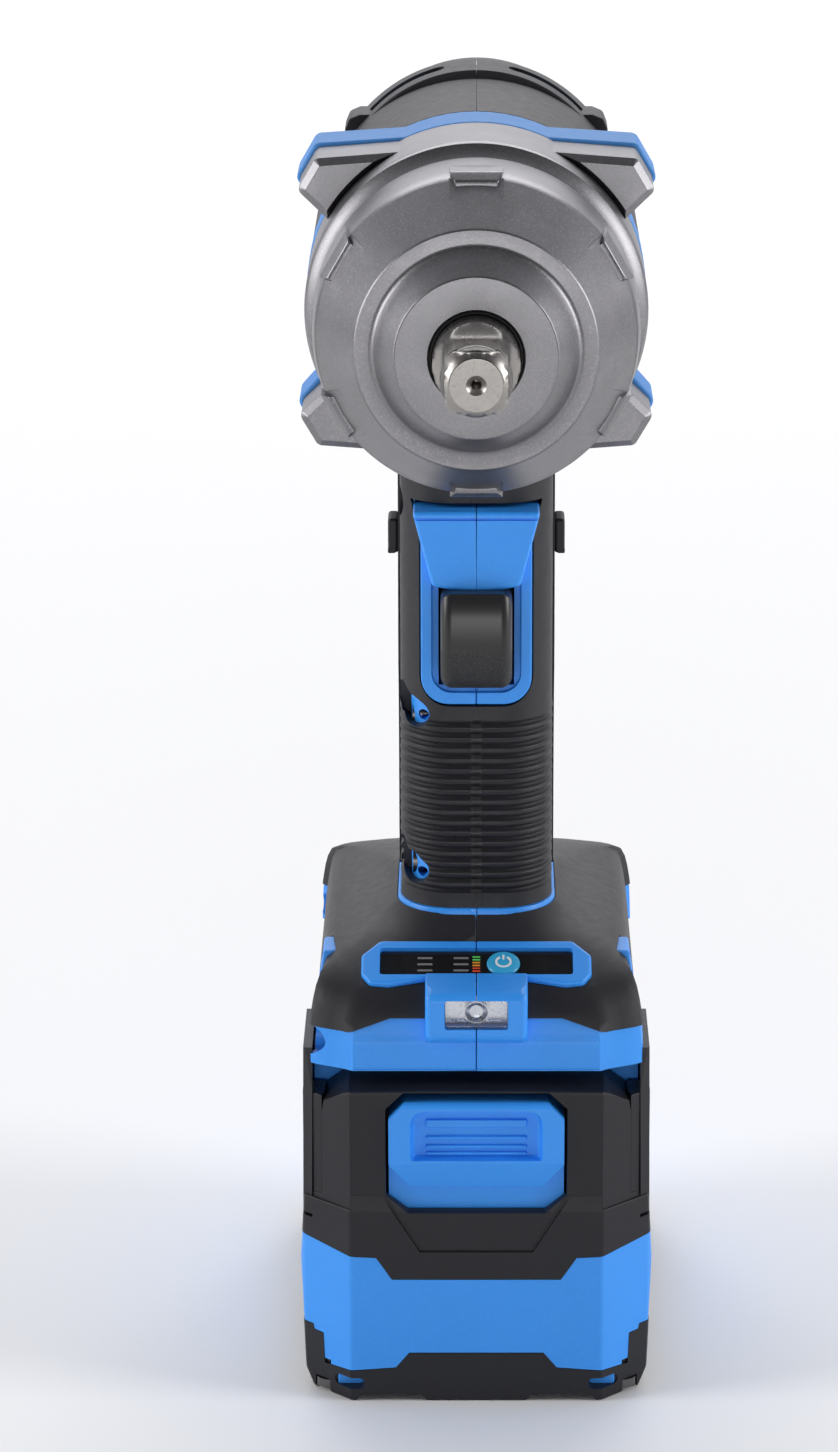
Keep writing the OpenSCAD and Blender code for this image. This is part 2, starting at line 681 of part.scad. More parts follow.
// Latch button with its finger recess, skirt and hook
module battery_latch() color("dodgerblue") difference() {
    union() {
        along_y(-55.6, -43) polygon([[-latch_w, latch_z0], [latch_w, latch_z0], [latch_w, 68], [latch_w - 3.4, 71.3],
            [-latch_w + 3.4, 71.3], [-latch_w, 68]]);
        wide_box(latch_w, -52.2, -49.5, latch_z0 - 10, latch_z0 + 1);
        wide_box(8, -43.5, -34.6, 60, 66);
    }
    along_x(-15.6, 15.6) polygon([[-60, 70], [-54, 70], [-51.4, 66], [-51.4, 60], [-54, 57.6], [-60, 57.6]]);
    for (x = [-spring_x, spring_x]) translate([x, spring_y, 45]) cylinder(r = 2.6, h = 17);
    along_x(-far, far) polygon([[-56, 50], [-53, 50], [-56, 56]]);
}
module latch_springs() color("silver") for (x = [-spring_x, spring_x])
    translate([x, spring_y, deck_z]) coil(1.9, 0.35, 15.9, 6);

hammer_case();
case_bumper();
nose_bushing();
nose_seal();
thrust_washer();
ring_gear();
gearbox_plate();
carrier_bearing();
front_bearing();
rear_bearing();
stator_core();
stator_windings();
hall_board();
housing_left();
housing_right();
overmold_left();
overmold_right();
case_screws();
housing_screws();
trigger_switch();
control_board();
motor_leads();
display_panel();
led_lens();
led_board();
terminal_block();
anvil();
retaining_ring();
cam_carrier();
planet_pins();
cam_balls();
hammer();
hammer_spring();
planet_gear_1();
planet_gear_2();
planet_gear_3();
rotor_shaft();
sun_pinion();
rotor_core();
rotor_magnets();
cooling_fan();
trigger();
trigger_spring();
direction_switch();
power_button();
battery_upper_case();
battery_lower_case();
battery_guard();
battery_cells();
cell_holder();
battery_board();
battery_contacts();
battery_screws();
battery_latch();
latch_springs();
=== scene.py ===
import json
import math
import bpy
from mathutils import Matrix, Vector

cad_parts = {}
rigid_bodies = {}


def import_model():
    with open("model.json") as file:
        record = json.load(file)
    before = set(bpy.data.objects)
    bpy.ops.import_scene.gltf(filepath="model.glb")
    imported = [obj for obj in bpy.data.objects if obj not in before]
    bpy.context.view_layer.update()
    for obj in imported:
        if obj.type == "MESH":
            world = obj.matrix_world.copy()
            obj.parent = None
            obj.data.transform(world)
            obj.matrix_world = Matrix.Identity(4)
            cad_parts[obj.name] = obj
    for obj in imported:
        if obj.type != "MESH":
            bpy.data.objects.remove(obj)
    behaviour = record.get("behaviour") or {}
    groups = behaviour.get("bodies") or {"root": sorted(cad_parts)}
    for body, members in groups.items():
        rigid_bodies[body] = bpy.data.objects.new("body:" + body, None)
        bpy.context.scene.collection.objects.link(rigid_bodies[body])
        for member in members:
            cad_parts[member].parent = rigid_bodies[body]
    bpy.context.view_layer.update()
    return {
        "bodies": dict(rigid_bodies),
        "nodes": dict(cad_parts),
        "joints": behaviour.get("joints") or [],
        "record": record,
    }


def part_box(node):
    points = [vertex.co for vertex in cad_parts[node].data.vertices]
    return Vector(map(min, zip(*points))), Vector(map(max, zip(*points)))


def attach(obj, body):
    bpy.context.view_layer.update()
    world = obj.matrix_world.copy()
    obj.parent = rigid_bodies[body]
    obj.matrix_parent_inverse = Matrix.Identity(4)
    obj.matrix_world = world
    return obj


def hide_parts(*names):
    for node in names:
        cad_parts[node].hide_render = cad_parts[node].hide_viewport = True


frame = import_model()
nodes = frame["nodes"]
mm = 0.001
print("frame loaded:", len(nodes), "nodes")

# places that many pieces share, in millimetres
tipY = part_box("anvil")[0].y / mm
axisZ = (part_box("anvil")[0].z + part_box("anvil")[1].z) / 2 / mm
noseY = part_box("hammer_case")[0].y / mm
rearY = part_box("housing_left")[1].y / mm
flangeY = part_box("case_bumper")[0].y / mm
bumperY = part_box("case_bumper")[1].y / mm


# ---- modelling helpers ----
def deselect():
    if bpy.context.mode != "OBJECT":
        bpy.ops.object.mode_set(mode="OBJECT")
    bpy.ops.object.select_all(action="DESELECT")


def activate(piece):
    deselect()
    piece.select_set(True)
    bpy.context.view_layer.objects.active = piece


def editAll(piece):
    activate(piece)
    bpy.ops.object.mode_set(mode="EDIT")
    bpy.ops.mesh.select_mode(type="VERT")
    bpy.ops.mesh.select_all(action="SELECT")


def objectMode():
    bpy.ops.object.mode_set(mode="OBJECT")


def pick(piece, kind, test):
    # leaves edit mode on with only the elements that pass the test selected
    activate(piece)
    bpy.ops.object.mode_set(mode="EDIT")
    bpy.ops.mesh.select_mode(type=kind)
    bpy.ops.mesh.select_all(action="DESELECT")
    objectMode()
    mesh = piece.data
    if kind == "FACE":
        for face in mesh.polygons:
            face.select = test(face.center / mm, face.normal)
    elif kind == "EDGE":
        for edge in mesh.edges:
            ends = [mesh.vertices[i].co / mm for i in edge.vertices]
            edge.select = test(*ends)
    else:
        for point in mesh.vertices:
            point.select = test(point.co / mm)
    bpy.ops.object.mode_set(mode="EDIT")


def trace(name, points, fill=True):
    # draws an outline point by point with extrude, and fills it
    deselect()
    bpy.ops.mesh.primitive_plane_add(size=mm)
    piece = bpy.context.object
    piece.name = name
    editAll(piece)
    bpy.ops.mesh.merge(type="CENTER")
    route = [Vector(p) * mm for p in points]
    bpy.ops.transform.translate(value=route[0])
    for here, there in zip(route, route[1:]):
        bpy.ops.mesh.extrude_region_move(TRANSFORM_OT_translate={"value": there - here})
    if fill:
        bpy.ops.mesh.select_all(action="SELECT")
        bpy.ops.mesh.edge_face_add()
    objectMode()
    return piece


def outward(piece, merge=0.002):
    editAll(piece)
    bpy.ops.mesh.remove_doubles(threshold=merge * mm)
    bpy.ops.mesh.normals_make_consistent(inside=False)
    objectMode()


def lathe(name, profile, steps=144, middle=None, axis="Y", closed=False):
    # turns a (radius, place) profile about an axis through the middle
    cx, cy, cz = middle or (0, 0, axisZ)
    route = list(profile) + ([profile[0]] if closed else [])
    if axis == "Y":
        points = [(cx + r, cy + s, cz) for r, s in route]
        around = (0, 1, 0)
    else:
        points = [(cx + r, cy, cz + s) for r, s in route]
        around = (0, 0, 1)
    piece = trace(name, points, fill=False)
    editAll(piece)
    bpy.ops.mesh.spin(steps=steps, angle=2 * math.pi, center=Vector((cx, cy, cz)) * mm, axis=around)
    objectMode()
    outward(piece)
    return piece


def prism(name, outline, low, high, axis="Y"):
    # pushes a flat outline from low to high: (x, z) along Y, (y, z) along X or (x, y) along Z
    place = {"Y": lambda a, b: (a, low, b), "X": lambda a, b: (low, a, b), "Z": lambda a, b: (a, b,
                                                                                              low)}[axis]
    step = {"Y": (0, 1, 0), "X": (1, 0, 0), "Z": (0, 0, 1)}[axis]
    piece = trace(name, [place(a, b) for a, b in outline])
    editAll(piece)
    bpy.ops.mesh.extrude_region_move(TRANSFORM_OT_translate={"value": Vector(step) * (high - low) * mm})
    objectMode()
    outward(piece)
    return piece


def block(name, low, high):
    # a box between two corners
    deselect()
    size = Vector([abs(b - a) for a, b in zip(low, high)])
    place = (Vector(high) + Vector(low)) / 2
    bpy.ops.mesh.primitive_cube_add(size=1, location=place * mm, scale=size * mm)
    piece = bpy.context.object
    piece.name = name
    settle(piece)
    return piece


def rod(name, radius, start, length, axis="Z", sides=48):
    deselect()
    turn = {"Z": (0, 0, 0), "Y": (-math.pi / 2, 0, 0), "X": (0, math.pi / 2, 0)}[axis]
    along = {"Z": Vector((0, 0, 1)), "Y": Vector((0, 1, 0)), "X": Vector((1, 0, 0))}[axis]
    bpy.ops.mesh.primitive_cylinder_add(vertices=sides, radius=radius * mm, depth=length * mm,
                                        location=(Vector(start) + along * length / 2) * mm, rotation=turn)
    piece = bpy.context.object
    piece.name = name
    settle(piece)
    return piece


def settle(piece):
    # moves the object's place, turn and size into its mesh
    activate(piece)
    bpy.ops.object.transform_apply(location=True, rotation=True, scale=True)


def modify(piece, kind, **settings):
    activate(piece)
    modifier = piece.modifiers.new(kind.title(), kind)
    for key, value in settings.items():
        setattr(modifier, key, value)
    bpy.ops.object.modifier_apply(modifier=modifier.name)


def bevel(piece, width, segments=2, angle=30):
    modify(piece, "BEVEL", width=width * mm, segments=segments, limit_method="ANGLE",
           angle_limit=math.radians(angle), use_clamp_overlap=True)


def combine(piece, tools, operation="DIFFERENCE"):
    # a boolean with each tool, which is then thrown away
    for tool in tools:
        modify(piece, "BOOLEAN", object=tool, operation=operation, solver="MANIFOLD")
        bpy.data.objects.remove(tool)
    return piece


def duplicate(piece, name):
    activate(piece)
    bpy.ops.object.duplicate()
    copy = bpy.context.object
    copy.name = name
    return copy


def spinCopies(piece, angles):
    # copies turned about the drive axis, in place of the piece
    made = []
    for angle in angles:
        copy = duplicate(piece, piece.name)
        turnMesh(copy, angle, "Y", axisZ)
        made.append(copy)
    bpy.data.objects.remove(piece)
    return made


def turnMesh(piece, angle, axis, z=0, x=0):
    editAll(piece)
    bpy.ops.transform.rotate(value=math.radians(angle), orient_axis=axis, center_override=(x * mm, 0,
                                                                                           z * mm))
    objectMode()


def mirrorCopy(piece):
    # a mirrored copy across the mid-plane X = 0
    copy = duplicate(piece, piece.name)
    editAll(copy)
    bpy.ops.transform.resize(value=(-1, 1, 1), center_override=(0, 0, 0))
    objectMode()
    outward(copy)
    return copy


def loft(name, rings):
    # a capped skin through rings that all have the same number of points
    count = len(rings[0])
    deselect()
    bpy.ops.mesh.primitive_circle_add(vertices=count, radius=mm, fill_type="NOTHING")
    piece = bpy.context.object
    piece.name = name
    editAll(piece)
    for ring in rings[1:]:
        bpy.ops.mesh.extrude_region_move(TRANSFORM_OT_translate={"value": (0, 0, mm)})
    objectMode()
    places = [c * mm for ring in rings for point in ring for c in point]
    piece.data.vertices.foreach_set("co", places)
    piece.data.update()
    for start in (0, (len(rings) - 1) * count):
        pick(piece, "VERT", lambda co: False)
        objectMode()
        for point in piece.data.vertices:
            point.select = start <= point.index < start + count
        bpy.ops.object.mode_set(mode="EDIT")
        bpy.ops.mesh.edge_face_add()
        objectMode()
    outward(piece)
    return piece


def rounded(points, radius, steps=5):
    # the outline with every corner rounded by an arc
    out = []
    count = len(points)
    sizes = radius if isinstance(radius, (list, tuple)) else [radius] * count
    for i, here in enumerate(points):
        p = Vector(here)
        a = Vector(points[i - 1]) - p
        b = Vector(points[(i + 1) % count]) - p
        if sizes[i] <= 0:
            out.append(tuple(p))
            continue
        corner = a.angle(b)
        reach = min(sizes[i] / math.tan(corner / 2), a.length * 0.49, b.length * 0.49)
        size = reach * math.tan(corner / 2)
        middle = p + (a.normalized() + b.normalized()).normalized() * size / math.sin(corner / 2)
        start = p + a.normalized() * reach - middle
        end = p + b.normalized() * reach - middle
        sweep = start.angle_signed(end)
        for k in range(steps + 1):
            t = -sweep * k / steps
            out.append((middle.x + start.x * math.cos(t) - start.y * math.sin(t),
                        middle.y + start.x * math.sin(t) + start.y * math.cos(t)))
    return out


def arc(radius, start, end, steps, middle=(0, 0)):
    # points on a circle, angles in degrees
    angles = [math.radians(start + (end - start) * k / steps) for k in range(steps + 1)]
    return [(middle[0] + radius * math.cos(t), middle[1] + radius * math.sin(t)) for t in angles]


def closeOutline(points):
    # closes an outline drawn on the right-hand side with its mirror image
    return list(points) + [(-x, z) for x, z in reversed(points)]


def halve(piece, side, gap, seam=0.22):
    # one half of a symmetrical shell, with a small chamfer along the parting line
    name = piece.name + ("Left" if side < 0 else "Right")
    copy = duplicate(piece, name)
    editAll(copy)
    bpy.ops.mesh.bisect(plane_co=(side * gap * mm, 0, 0), plane_no=(1, 0, 0), use_fill=True,
                        clear_inner=side > 0, clear_outer=side < 0)
    bpy.ops.mesh.select_mode(type="FACE")
    objectMode()
    for face in copy.data.polygons:
        face.select = abs(face.center.x - side * gap * mm) < 1e-6 and abs(face.normal.x) > 0.99
    bpy.ops.object.mode_set(mode="EDIT")
    bpy.ops.mesh.region_to_loop()
    bpy.ops.mesh.bevel(offset=seam * mm, segments=1, affect="EDGES", clamp_overlap=True)
    objectMode()
    return copy


def finishPiece(piece, body, finish, replaced=(), angle=32):
    activate(piece)
    piece.data.name = piece.name
    piece.data.materials.clear()
    piece.data.materials.append(finishes[finish])
    bpy.ops.object.shade_smooth_by_angle(angle=math.radians(angle))
    modify(piece, "WEIGHTED_NORMAL", keep_sharp=True)
    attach(piece, body)
    if replaced:
        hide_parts(*replaced)
    return piece


def makePair(piece, finish, nodes, gap=0.1):
    # splits a shell at the centre seam; the halves stand for the left and right nodes
    for side, node in zip((-1, 1), nodes):
        finishPiece(halve(piece, side, gap), "tool", finish, [node])
    bpy.data.objects.remove(piece)


def blueShell(piece):
    makePair(piece, "bluePlastic", ("housing_left", "housing_right"))


def blackShell(piece):
    makePair(piece, "blackRubber", ("overmold_left", "overmold_right"))


def bevelPicked(piece, test, width, segments, clamp=False):
    # bevels only the edges that pass the test
    pick(piece, "EDGE", test)
    bpy.ops.mesh.bevel(offset=width * mm, segments=segments, affect="EDGES", clamp_overlap=clamp)
    objectMode()


def movePicked(piece, test, step):
    pick(piece, "VERT", test)
    bpy.ops.transform.translate(value=Vector(step) * mm)
    objectMode()


def sizePicked(piece, kind, test, scale, middle=(0, 0, 0)):
    pick(piece, kind, test)
    bpy.ops.transform.resize(value=scale, center_override=Vector(middle) * mm)
    objectMode()


# ---- materials ----
class Val:
    # a socket whose arithmetic adds Math nodes
    def __init__(self, finish, socket):
        self.finish = finish
        self.socket = socket

    def __add__(self, other):
        return self.finish.maths("ADD", self, other)

    def __mul__(self, other):
        return self.finish.maths("MULTIPLY", self, other)



class Finish:
    # one principled material, built with node()
    def __init__(self, name, **settings):
        self.material = bpy.data.materials.new(name)
        self.material.use_nodes = True
        self.tree = self.material.node_tree
        self.tree.nodes.clear()
        self.shader = self.tree.nodes.new("ShaderNodeBsdfPrincipled")
        out = self.tree.nodes.new("ShaderNodeOutputMaterial")
        self.tree.links.new(self.shader.outputs[0], out.inputs[0])
        for key, value in settings.items():
            self.shader.inputs[key].default_value = value
        self.place = self.node("TexCoord", output="Object")

    def feed(self, socket, value):
        if isinstance(value, Val):
            self.tree.links.new(value.socket, socket)
        else:
            socket.default_value = value

    def node(self, kind, settings=None, output=0, **values):
        made = self.tree.nodes.new("ShaderNode" + kind)
        for key, value in (settings or {}).items():
            setattr(made, key, value)
        for key, value in values.items():
            index = int(key[1:]) if key[0] == "i" and key[1:].isdigit() else key
            self.feed(made.inputs[index], value)
        return Val(self, made.outputs[output])

    def maths(self, operation, first, second):
        return self.node("Math", {"operation": operation}, i0=first, i1=second)

    def noise(self, scale, detail=2.0, place=None):
        return self.node("TexNoise", Vector=place or self.place, Scale=scale, Detail=detail)

    def blend(self, factor, first, second):
        return self.node("Mix", {"data_type": "RGBA"}, 2, i0=factor, i6=first, i7=second)

    def step(self, value, low, high):
        # 0 below low, 1 above high
        return self.node("MapRange", i0=value, i1=low, i2=high, i3=0.0, i4=1.0)

    def relief(self, height, strength=0.3, depth=0.1):
        self.link("Normal", self.node("Bump", Height=height, Strength=strength, Distance=depth * mm))

    def link(self, name, value):
        self.feed(self.shader.inputs[name], value)


def tone(colour, k):
    return tuple(min(1, c * k) for c in colour[:3]) + (1,)


def mouldedFinish(name, colour, roughness=0.45, grain=2600, depth=0.06, strength=0.25, mottle=0.12,
                  sheen=0.0,
                  specular=0.5, coat=0.0):
    # moulded plastic or rubber: fine spark texture, faint flow marks, a few lighter specks
    f = Finish(name, **{"Specular IOR Level": specular, "Sheen Weight": sheen, "Coat Weight": coat})
    flow = f.noise(55, 3)
    speck = f.noise(grain, 2)
    shade = f.blend(flow, tone(colour, 1 - mottle), tone(colour, 1 + mottle))
    shade = f.blend(f.step(speck, 0.58, 0.75) * 0.35, shade, tone(colour, 1.5))
    f.link("Base Color", shade)
    f.link("Roughness", f.noise(420, 2) * 0.16 + (roughness - 0.08))
    f.relief(speck, strength, depth)
    return f.material


def metalFinish(name, colour, roughness=0.3, grain=1800, depth=0.03, strength=0.2, metallic=1.0,
                streak=None,
                wearAndHighlight=0.5, sparkle=0.0):
    # bare or painted metal: cloudy tone, fine grain, lighter patches that are partly rubbed wear and partly
    # a painted highlight
    f = Finish(name, Metallic=metallic)
    place = f.place
    if streak:
        place = f.node("Mapping", i0=f.place, i3=streak)
    grainMap = f.noise(grain, 3, place)
    cloud = f.noise(70, 3)
    shade = f.blend(cloud, tone(colour, 0.86), tone(colour, 1.12))
    shade = f.blend(f.step(grainMap, 0.5, 0.72) * 0.5, shade, tone(colour, 1.0 + 0.6 * sparkle + 0.15))
    # lighter patches: partly rubbed wear, partly a painted highlight in place of the bright edges that
    # light picks out
    shade = f.blend(f.step(f.noise(140, 4), 0.56, 0.7) * wearAndHighlight * 0.3, shade, tone(colour, 1.5))
    f.link("Base Color", shade)
    f.link("Roughness", grainMap * 0.2 + (roughness - 0.1))
    f.relief(grainMap, strength, depth)
    return f.material


def lampFinish(name, colour):
    # small coloured light guide with a faint glow
    f = Finish(name, Roughness=0.3)
    glow = f.noise(1800, 2)
    f.link("Base Color", f.blend(glow, tone(colour, 0.85), tone(colour, 1.1)))
    f.link("Emission Color", f.blend(glow, tone(colour, 0.6), tone(colour, 0.9)))
    f.shader.inputs["Emission Strength"].default_value = 0.12
    return f.material


def clearFinish():
    # clear moulded window with faint flow lines
    f = Finish("clearWindow", **{"Transmission Weight": 1.0, "IOR": 1.49})
    haze = f.noise(260, 3)
    f.link("Base Color", f.blend(haze, (0.93, 0.96, 1.0, 1), (1, 1, 1, 1)))
    f.link("Roughness", haze * 0.05 + 0.02)
    f.relief(f.noise(500, 2), 0.1, 0.03)
    return f.material


def triggerFinish():
    # smooth above, coarse moulded speckle over the lower part
    f = Finish("triggerBlack")
    height = f.node("SeparateXYZ", output=2, i0=f.place)
    speck = f.noise(2600, 2)
    rough = f.step(height + f.noise(300) * 0.0015, 0.1705, 0.1685)
    f.link("Base Color", f.blend(f.step(speck, 0.5, 0.62) * rough, (0.015, 0.015, 0.016, 1), (0.032, 0.032,
                                                                                              0.034, 1)))
    f.link("Roughness", rough * 0.25 + 0.32)
    f.relief(speck * rough, 0.5, 0.2)
    return f.material


blueColour = (0.035, 0.32, 0.97, 1)
blackColour = (0.015, 0.015, 0.019, 1)
finishes = {
    "cast": metalFinish("castGreyPaint", (0.225, 0.22, 0.23), 0.38, 2200, 0.05, 0.35, 1.0, None, 0.6, 0.8),
    "bluePlastic": mouldedFinish("bluePlastic", blueColour, 0.42, 2400, 0.05, 0.22, 0.05),
    "blueRubber": mouldedFinish("blueRubber", (0.06, 0.26, 0.66), 0.6, 2000, 0.06, 0.3, 0.06),
    "blackRubber": mouldedFinish("blackOvermold", blackColour, 0.52, 2200, 0.08, 0.35, 0.1, specular=0.45),
    "blackPlastic": mouldedFinish("blackPlastic", (0.014, 0.014, 0.018, 1), 0.42, 2600, 0.07, 0.3, 0.1,
                                  specular=0.32),
    "steel": metalFinish("turnedSteel", (0.3, 0.285, 0.27), 0.3, 900, 0.02, 0.2, 1.0, (1, 0.15, 1), 0.4),
    "triggerBlack": triggerFinish(),
    "panel": mouldedFinish("glossPanel", (0.01, 0.01, 0.011), 0.16, 900, 0.01, 0.05, 0.1, coat=0.3),
    "barGrey": mouldedFinish("barGrey", (0.2, 0.2, 0.2), 0.4, 3000, 0.01, 0.1, 0.1),
    "lampRed": lampFinish("lampRed", (0.75, 0.07, 0.02)),
    "lampAmber": lampFinish("lampAmber", (0.8, 0.33, 0.03)),
    "lampGreen": lampFinish("lampGreen", (0.1, 0.6, 0.12)),
    "keyBlue": mouldedFinish("keyBlue", (0.04, 0.42, 0.74), 0.3, 2400, 0.02, 0.1, 0.06),
    "signWhite": mouldedFinish("signWhite", (0.8, 0.85, 0.88), 0.4, 2400, 0.02, 0.1, 0.03),
    "silverTray": metalFinish("silverTray", (0.75, 0.76, 0.78), 0.25, 1500, 0.02, 0.1, 0.9),
    "clear": clearFinish(),
    "bronze": metalFinish("sinteredBronze", (0.55, 0.36, 0.14), 0.35, 1600, 0.03, 0.3),
    "alloy": metalFinish("castAlloy", (0.6, 0.6, 0.61), 0.42, 1500, 0.04, 0.3),
    "lamination": metalFinish("steelLamination", (0.3, 0.29, 0.28), 0.4, 3500, 0.03, 0.4, 1.0, (0.02, 1,
                                                                                                0.02)),
    "copper": metalFinish("enamelledCopper", (0.66, 0.26, 0.12), 0.3, 1400, 0.05, 0.5, 0.9, (1, 0.2, 1)),
    "magnet": metalFinish("platedMagnet", (0.55, 0.56, 0.6), 0.2, 700, 0.01, 0.1),
    "contact": metalFinish("contactMetal", (0.83, 0.63, 0.28), 0.25, 900, 0.02, 0.2),
    "circuit": mouldedFinish("circuitGreen", (0.02, 0.12, 0.06), 0.35, 1500, 0.03, 0.2, 0.3),
    "redLead": mouldedFinish("redLeadSleeve", (0.4, 0.02, 0.02), 0.45, 1200, 0.04, 0.2, 0.1),
    "cellGreen": mouldedFinish("cellSleeve", (0.03, 0.3, 0.2), 0.35, 900, 0.02, 0.1, 0.1),
    "holderGrey": mouldedFinish("holderGrey", (0.2, 0.2, 0.21), 0.5, 2000, 0.05, 0.3, 0.1),
    "darkSteel": metalFinish("blackenedSteel", (0.16, 0.155, 0.15), 0.34, 1100, 0.03, 0.2, 1.0, None, 0.4),
    "seal": mouldedFinish("sealRubber", (0.012, 0.012, 0.013), 0.5, 2600, 0.04, 0.2, 0.1),
}
print("materials made")


# ---- light, floor and camera ----
def makeStage():
    settings = {"floor": 14.0, "white": (0.97, 0.97, 0.97, 1)}
    deselect()
    bpy.ops.mesh.primitive_grid_add(x_subdivisions=8, y_subdivisions=8, size=settings["floor"])
    floor = bpy.context.object
    floor.name = "studioFloor"
    f = Finish("studioPaper", Roughness=0.9)
    f.link("Base Color", f.blend(f.noise(3, 2), settings["white"], tone(settings["white"], 0.985)))
    floor.data.materials.append(f.material)

    makeWorld()


def makeWorld():
    # dark in front, white behind, dimmer overhead
    world = bpy.data.worlds.new("studioWorld")
    bpy.context.scene.world = world
    world.use_nodes = True
    tree = world.node_tree
    tree.nodes.clear()
    place = tree.nodes.new("ShaderNodeTexCoord")
    split = tree.nodes.new("ShaderNodeSeparateXYZ")
    ramp = tree.nodes.new("ShaderNodeValToRGB")
    shell = tree.nodes.new("ShaderNodeBackground")
    out = tree.nodes.new("ShaderNodeOutputWorld")
    spread = tree.nodes.new("ShaderNodeMapRange")
    tree.links.new(place.outputs["Generated"], split.inputs[0])
    tree.links.new(split.outputs["Y"], spread.inputs[0])
    spread.inputs[1].default_value = -1
    tree.links.new(spread.outputs[0], ramp.inputs[0])
    ramp.color_ramp.elements[0].position = 0.2
    ramp.color_ramp.elements[0].color = (0.13, 0.13, 0.14, 1)
    ramp.color_ramp.elements[1].position = 0.75
    ramp.color_ramp.elements[1].color = (1.05, 1.05, 1.1, 1)
    overhead = tree.nodes.new("ShaderNodeMapRange")
    tree.links.new(split.outputs["Z"], overhead.inputs[0])
    for index, value in ((1, 0.1), (2, 0.9), (3, 1.05), (4, 0.42)):
        overhead.inputs[index].default_value = value
    tree.links.new(ramp.outputs[0], shell.inputs[0])
    tree.links.new(overhead.outputs[0], shell.inputs[1])
    tree.links.new(shell.outputs[0], out.inputs[0])


def makeLight(name, place, target, size, power, tint=(1, 1, 1)):
    light = bpy.data.lights.new(name, "AREA")
    light.shape = "RECTANGLE"
    light.size, light.size_y = size
    light.energy = power
    light.color = tint
    lamp = bpy.data.objects.new(name, light)
    bpy.context.scene.collection.objects.link(lamp)
    lamp.location = place
    lamp.rotation_euler = (Vector(target) - Vector(place)).to_track_quat("-Z", "Y").to_euler()


def makeCamera():
    # the photograph's place: in front, a little above the nose, with a long lens
    settings = {"distance": 1.1, "pitch": 16.7, "aim": (0, -0.005, 0.143), "lens": 120.9, "shift": -0.0395}
    view = bpy.data.cameras.new("studioCamera")
    camera = bpy.data.objects.new("studioCamera", view)
    bpy.context.scene.collection.objects.link(camera)
    pitch = math.radians(settings["pitch"])
    back = Vector((0, -math.cos(pitch), math.sin(pitch)))
    camera.location = Vector(settings["aim"]) + back * settings["distance"]
    camera.rotation_euler = (math.pi / 2 - pitch, 0, 0)
    view.lens = settings["lens"]
    view.shift_x = settings["shift"]
    view.clip_start = 0.05
    bpy.context.scene.camera = camera


makeStage()
makeCamera()
makeLight("backBox", (0.0, 2.0, 1.9), (0, 1.2, 0), (2.6, 1.2), 34)
makeLight("leftBox", (-1.6, -0.35, 0.7), (0, 0, 0.12), (0.6, 1.0), 13)
makeLight("rightBox", (1.6, -0.35, 0.7), (0, 0, 0.12), (0.6, 1.0), 13)
makeLight("lowFill", (0.0, -1.9, 0.25), (0, 0, 0.1), (0.8, 0.3), 5)
bpy.context.scene.view_settings.view_transform = "Standard"
print("stage, lights and camera made")


# ---- nose: hammer case, bumper and anvil ----
def lugOutline(radius, grow, corner=1.6):
    # round flange with four mounting lugs, as (x, z) about the drive axis
    lug = {"low": (32.5, 18.5), "tip": (38.5, 24.7), "top": (34.5, 31.5), "root": (15.6, 32.8)}
    low = math.degrees(math.atan2(lug["low"][1] - grow, lug["low"][0] + grow))
    root = math.degrees(math.atan2(lug["root"][1] + grow, lug["root"][0]))
    tips = rounded([(30, 12), (lug["low"][0] + grow, lug["low"][1] - grow), (lug["tip"][0] + grow,
                                                                             lug["tip"][1]),
                    (lug["top"][0] + grow / 2, lug["top"][1] + grow), (10, 34)], [0, 0, corner, corner, 0],
                   4)[2:-1]
    right = arc(radius, 0, low, 5) + tips + arc(radius, root, 90, 5)
    upper = right + [(-x, z) for x, z in reversed(right[:-1])]
    return [(x, axisZ + z) for x, z in upper + [(x, -z) for x, z in reversed(upper[1:-1])]]


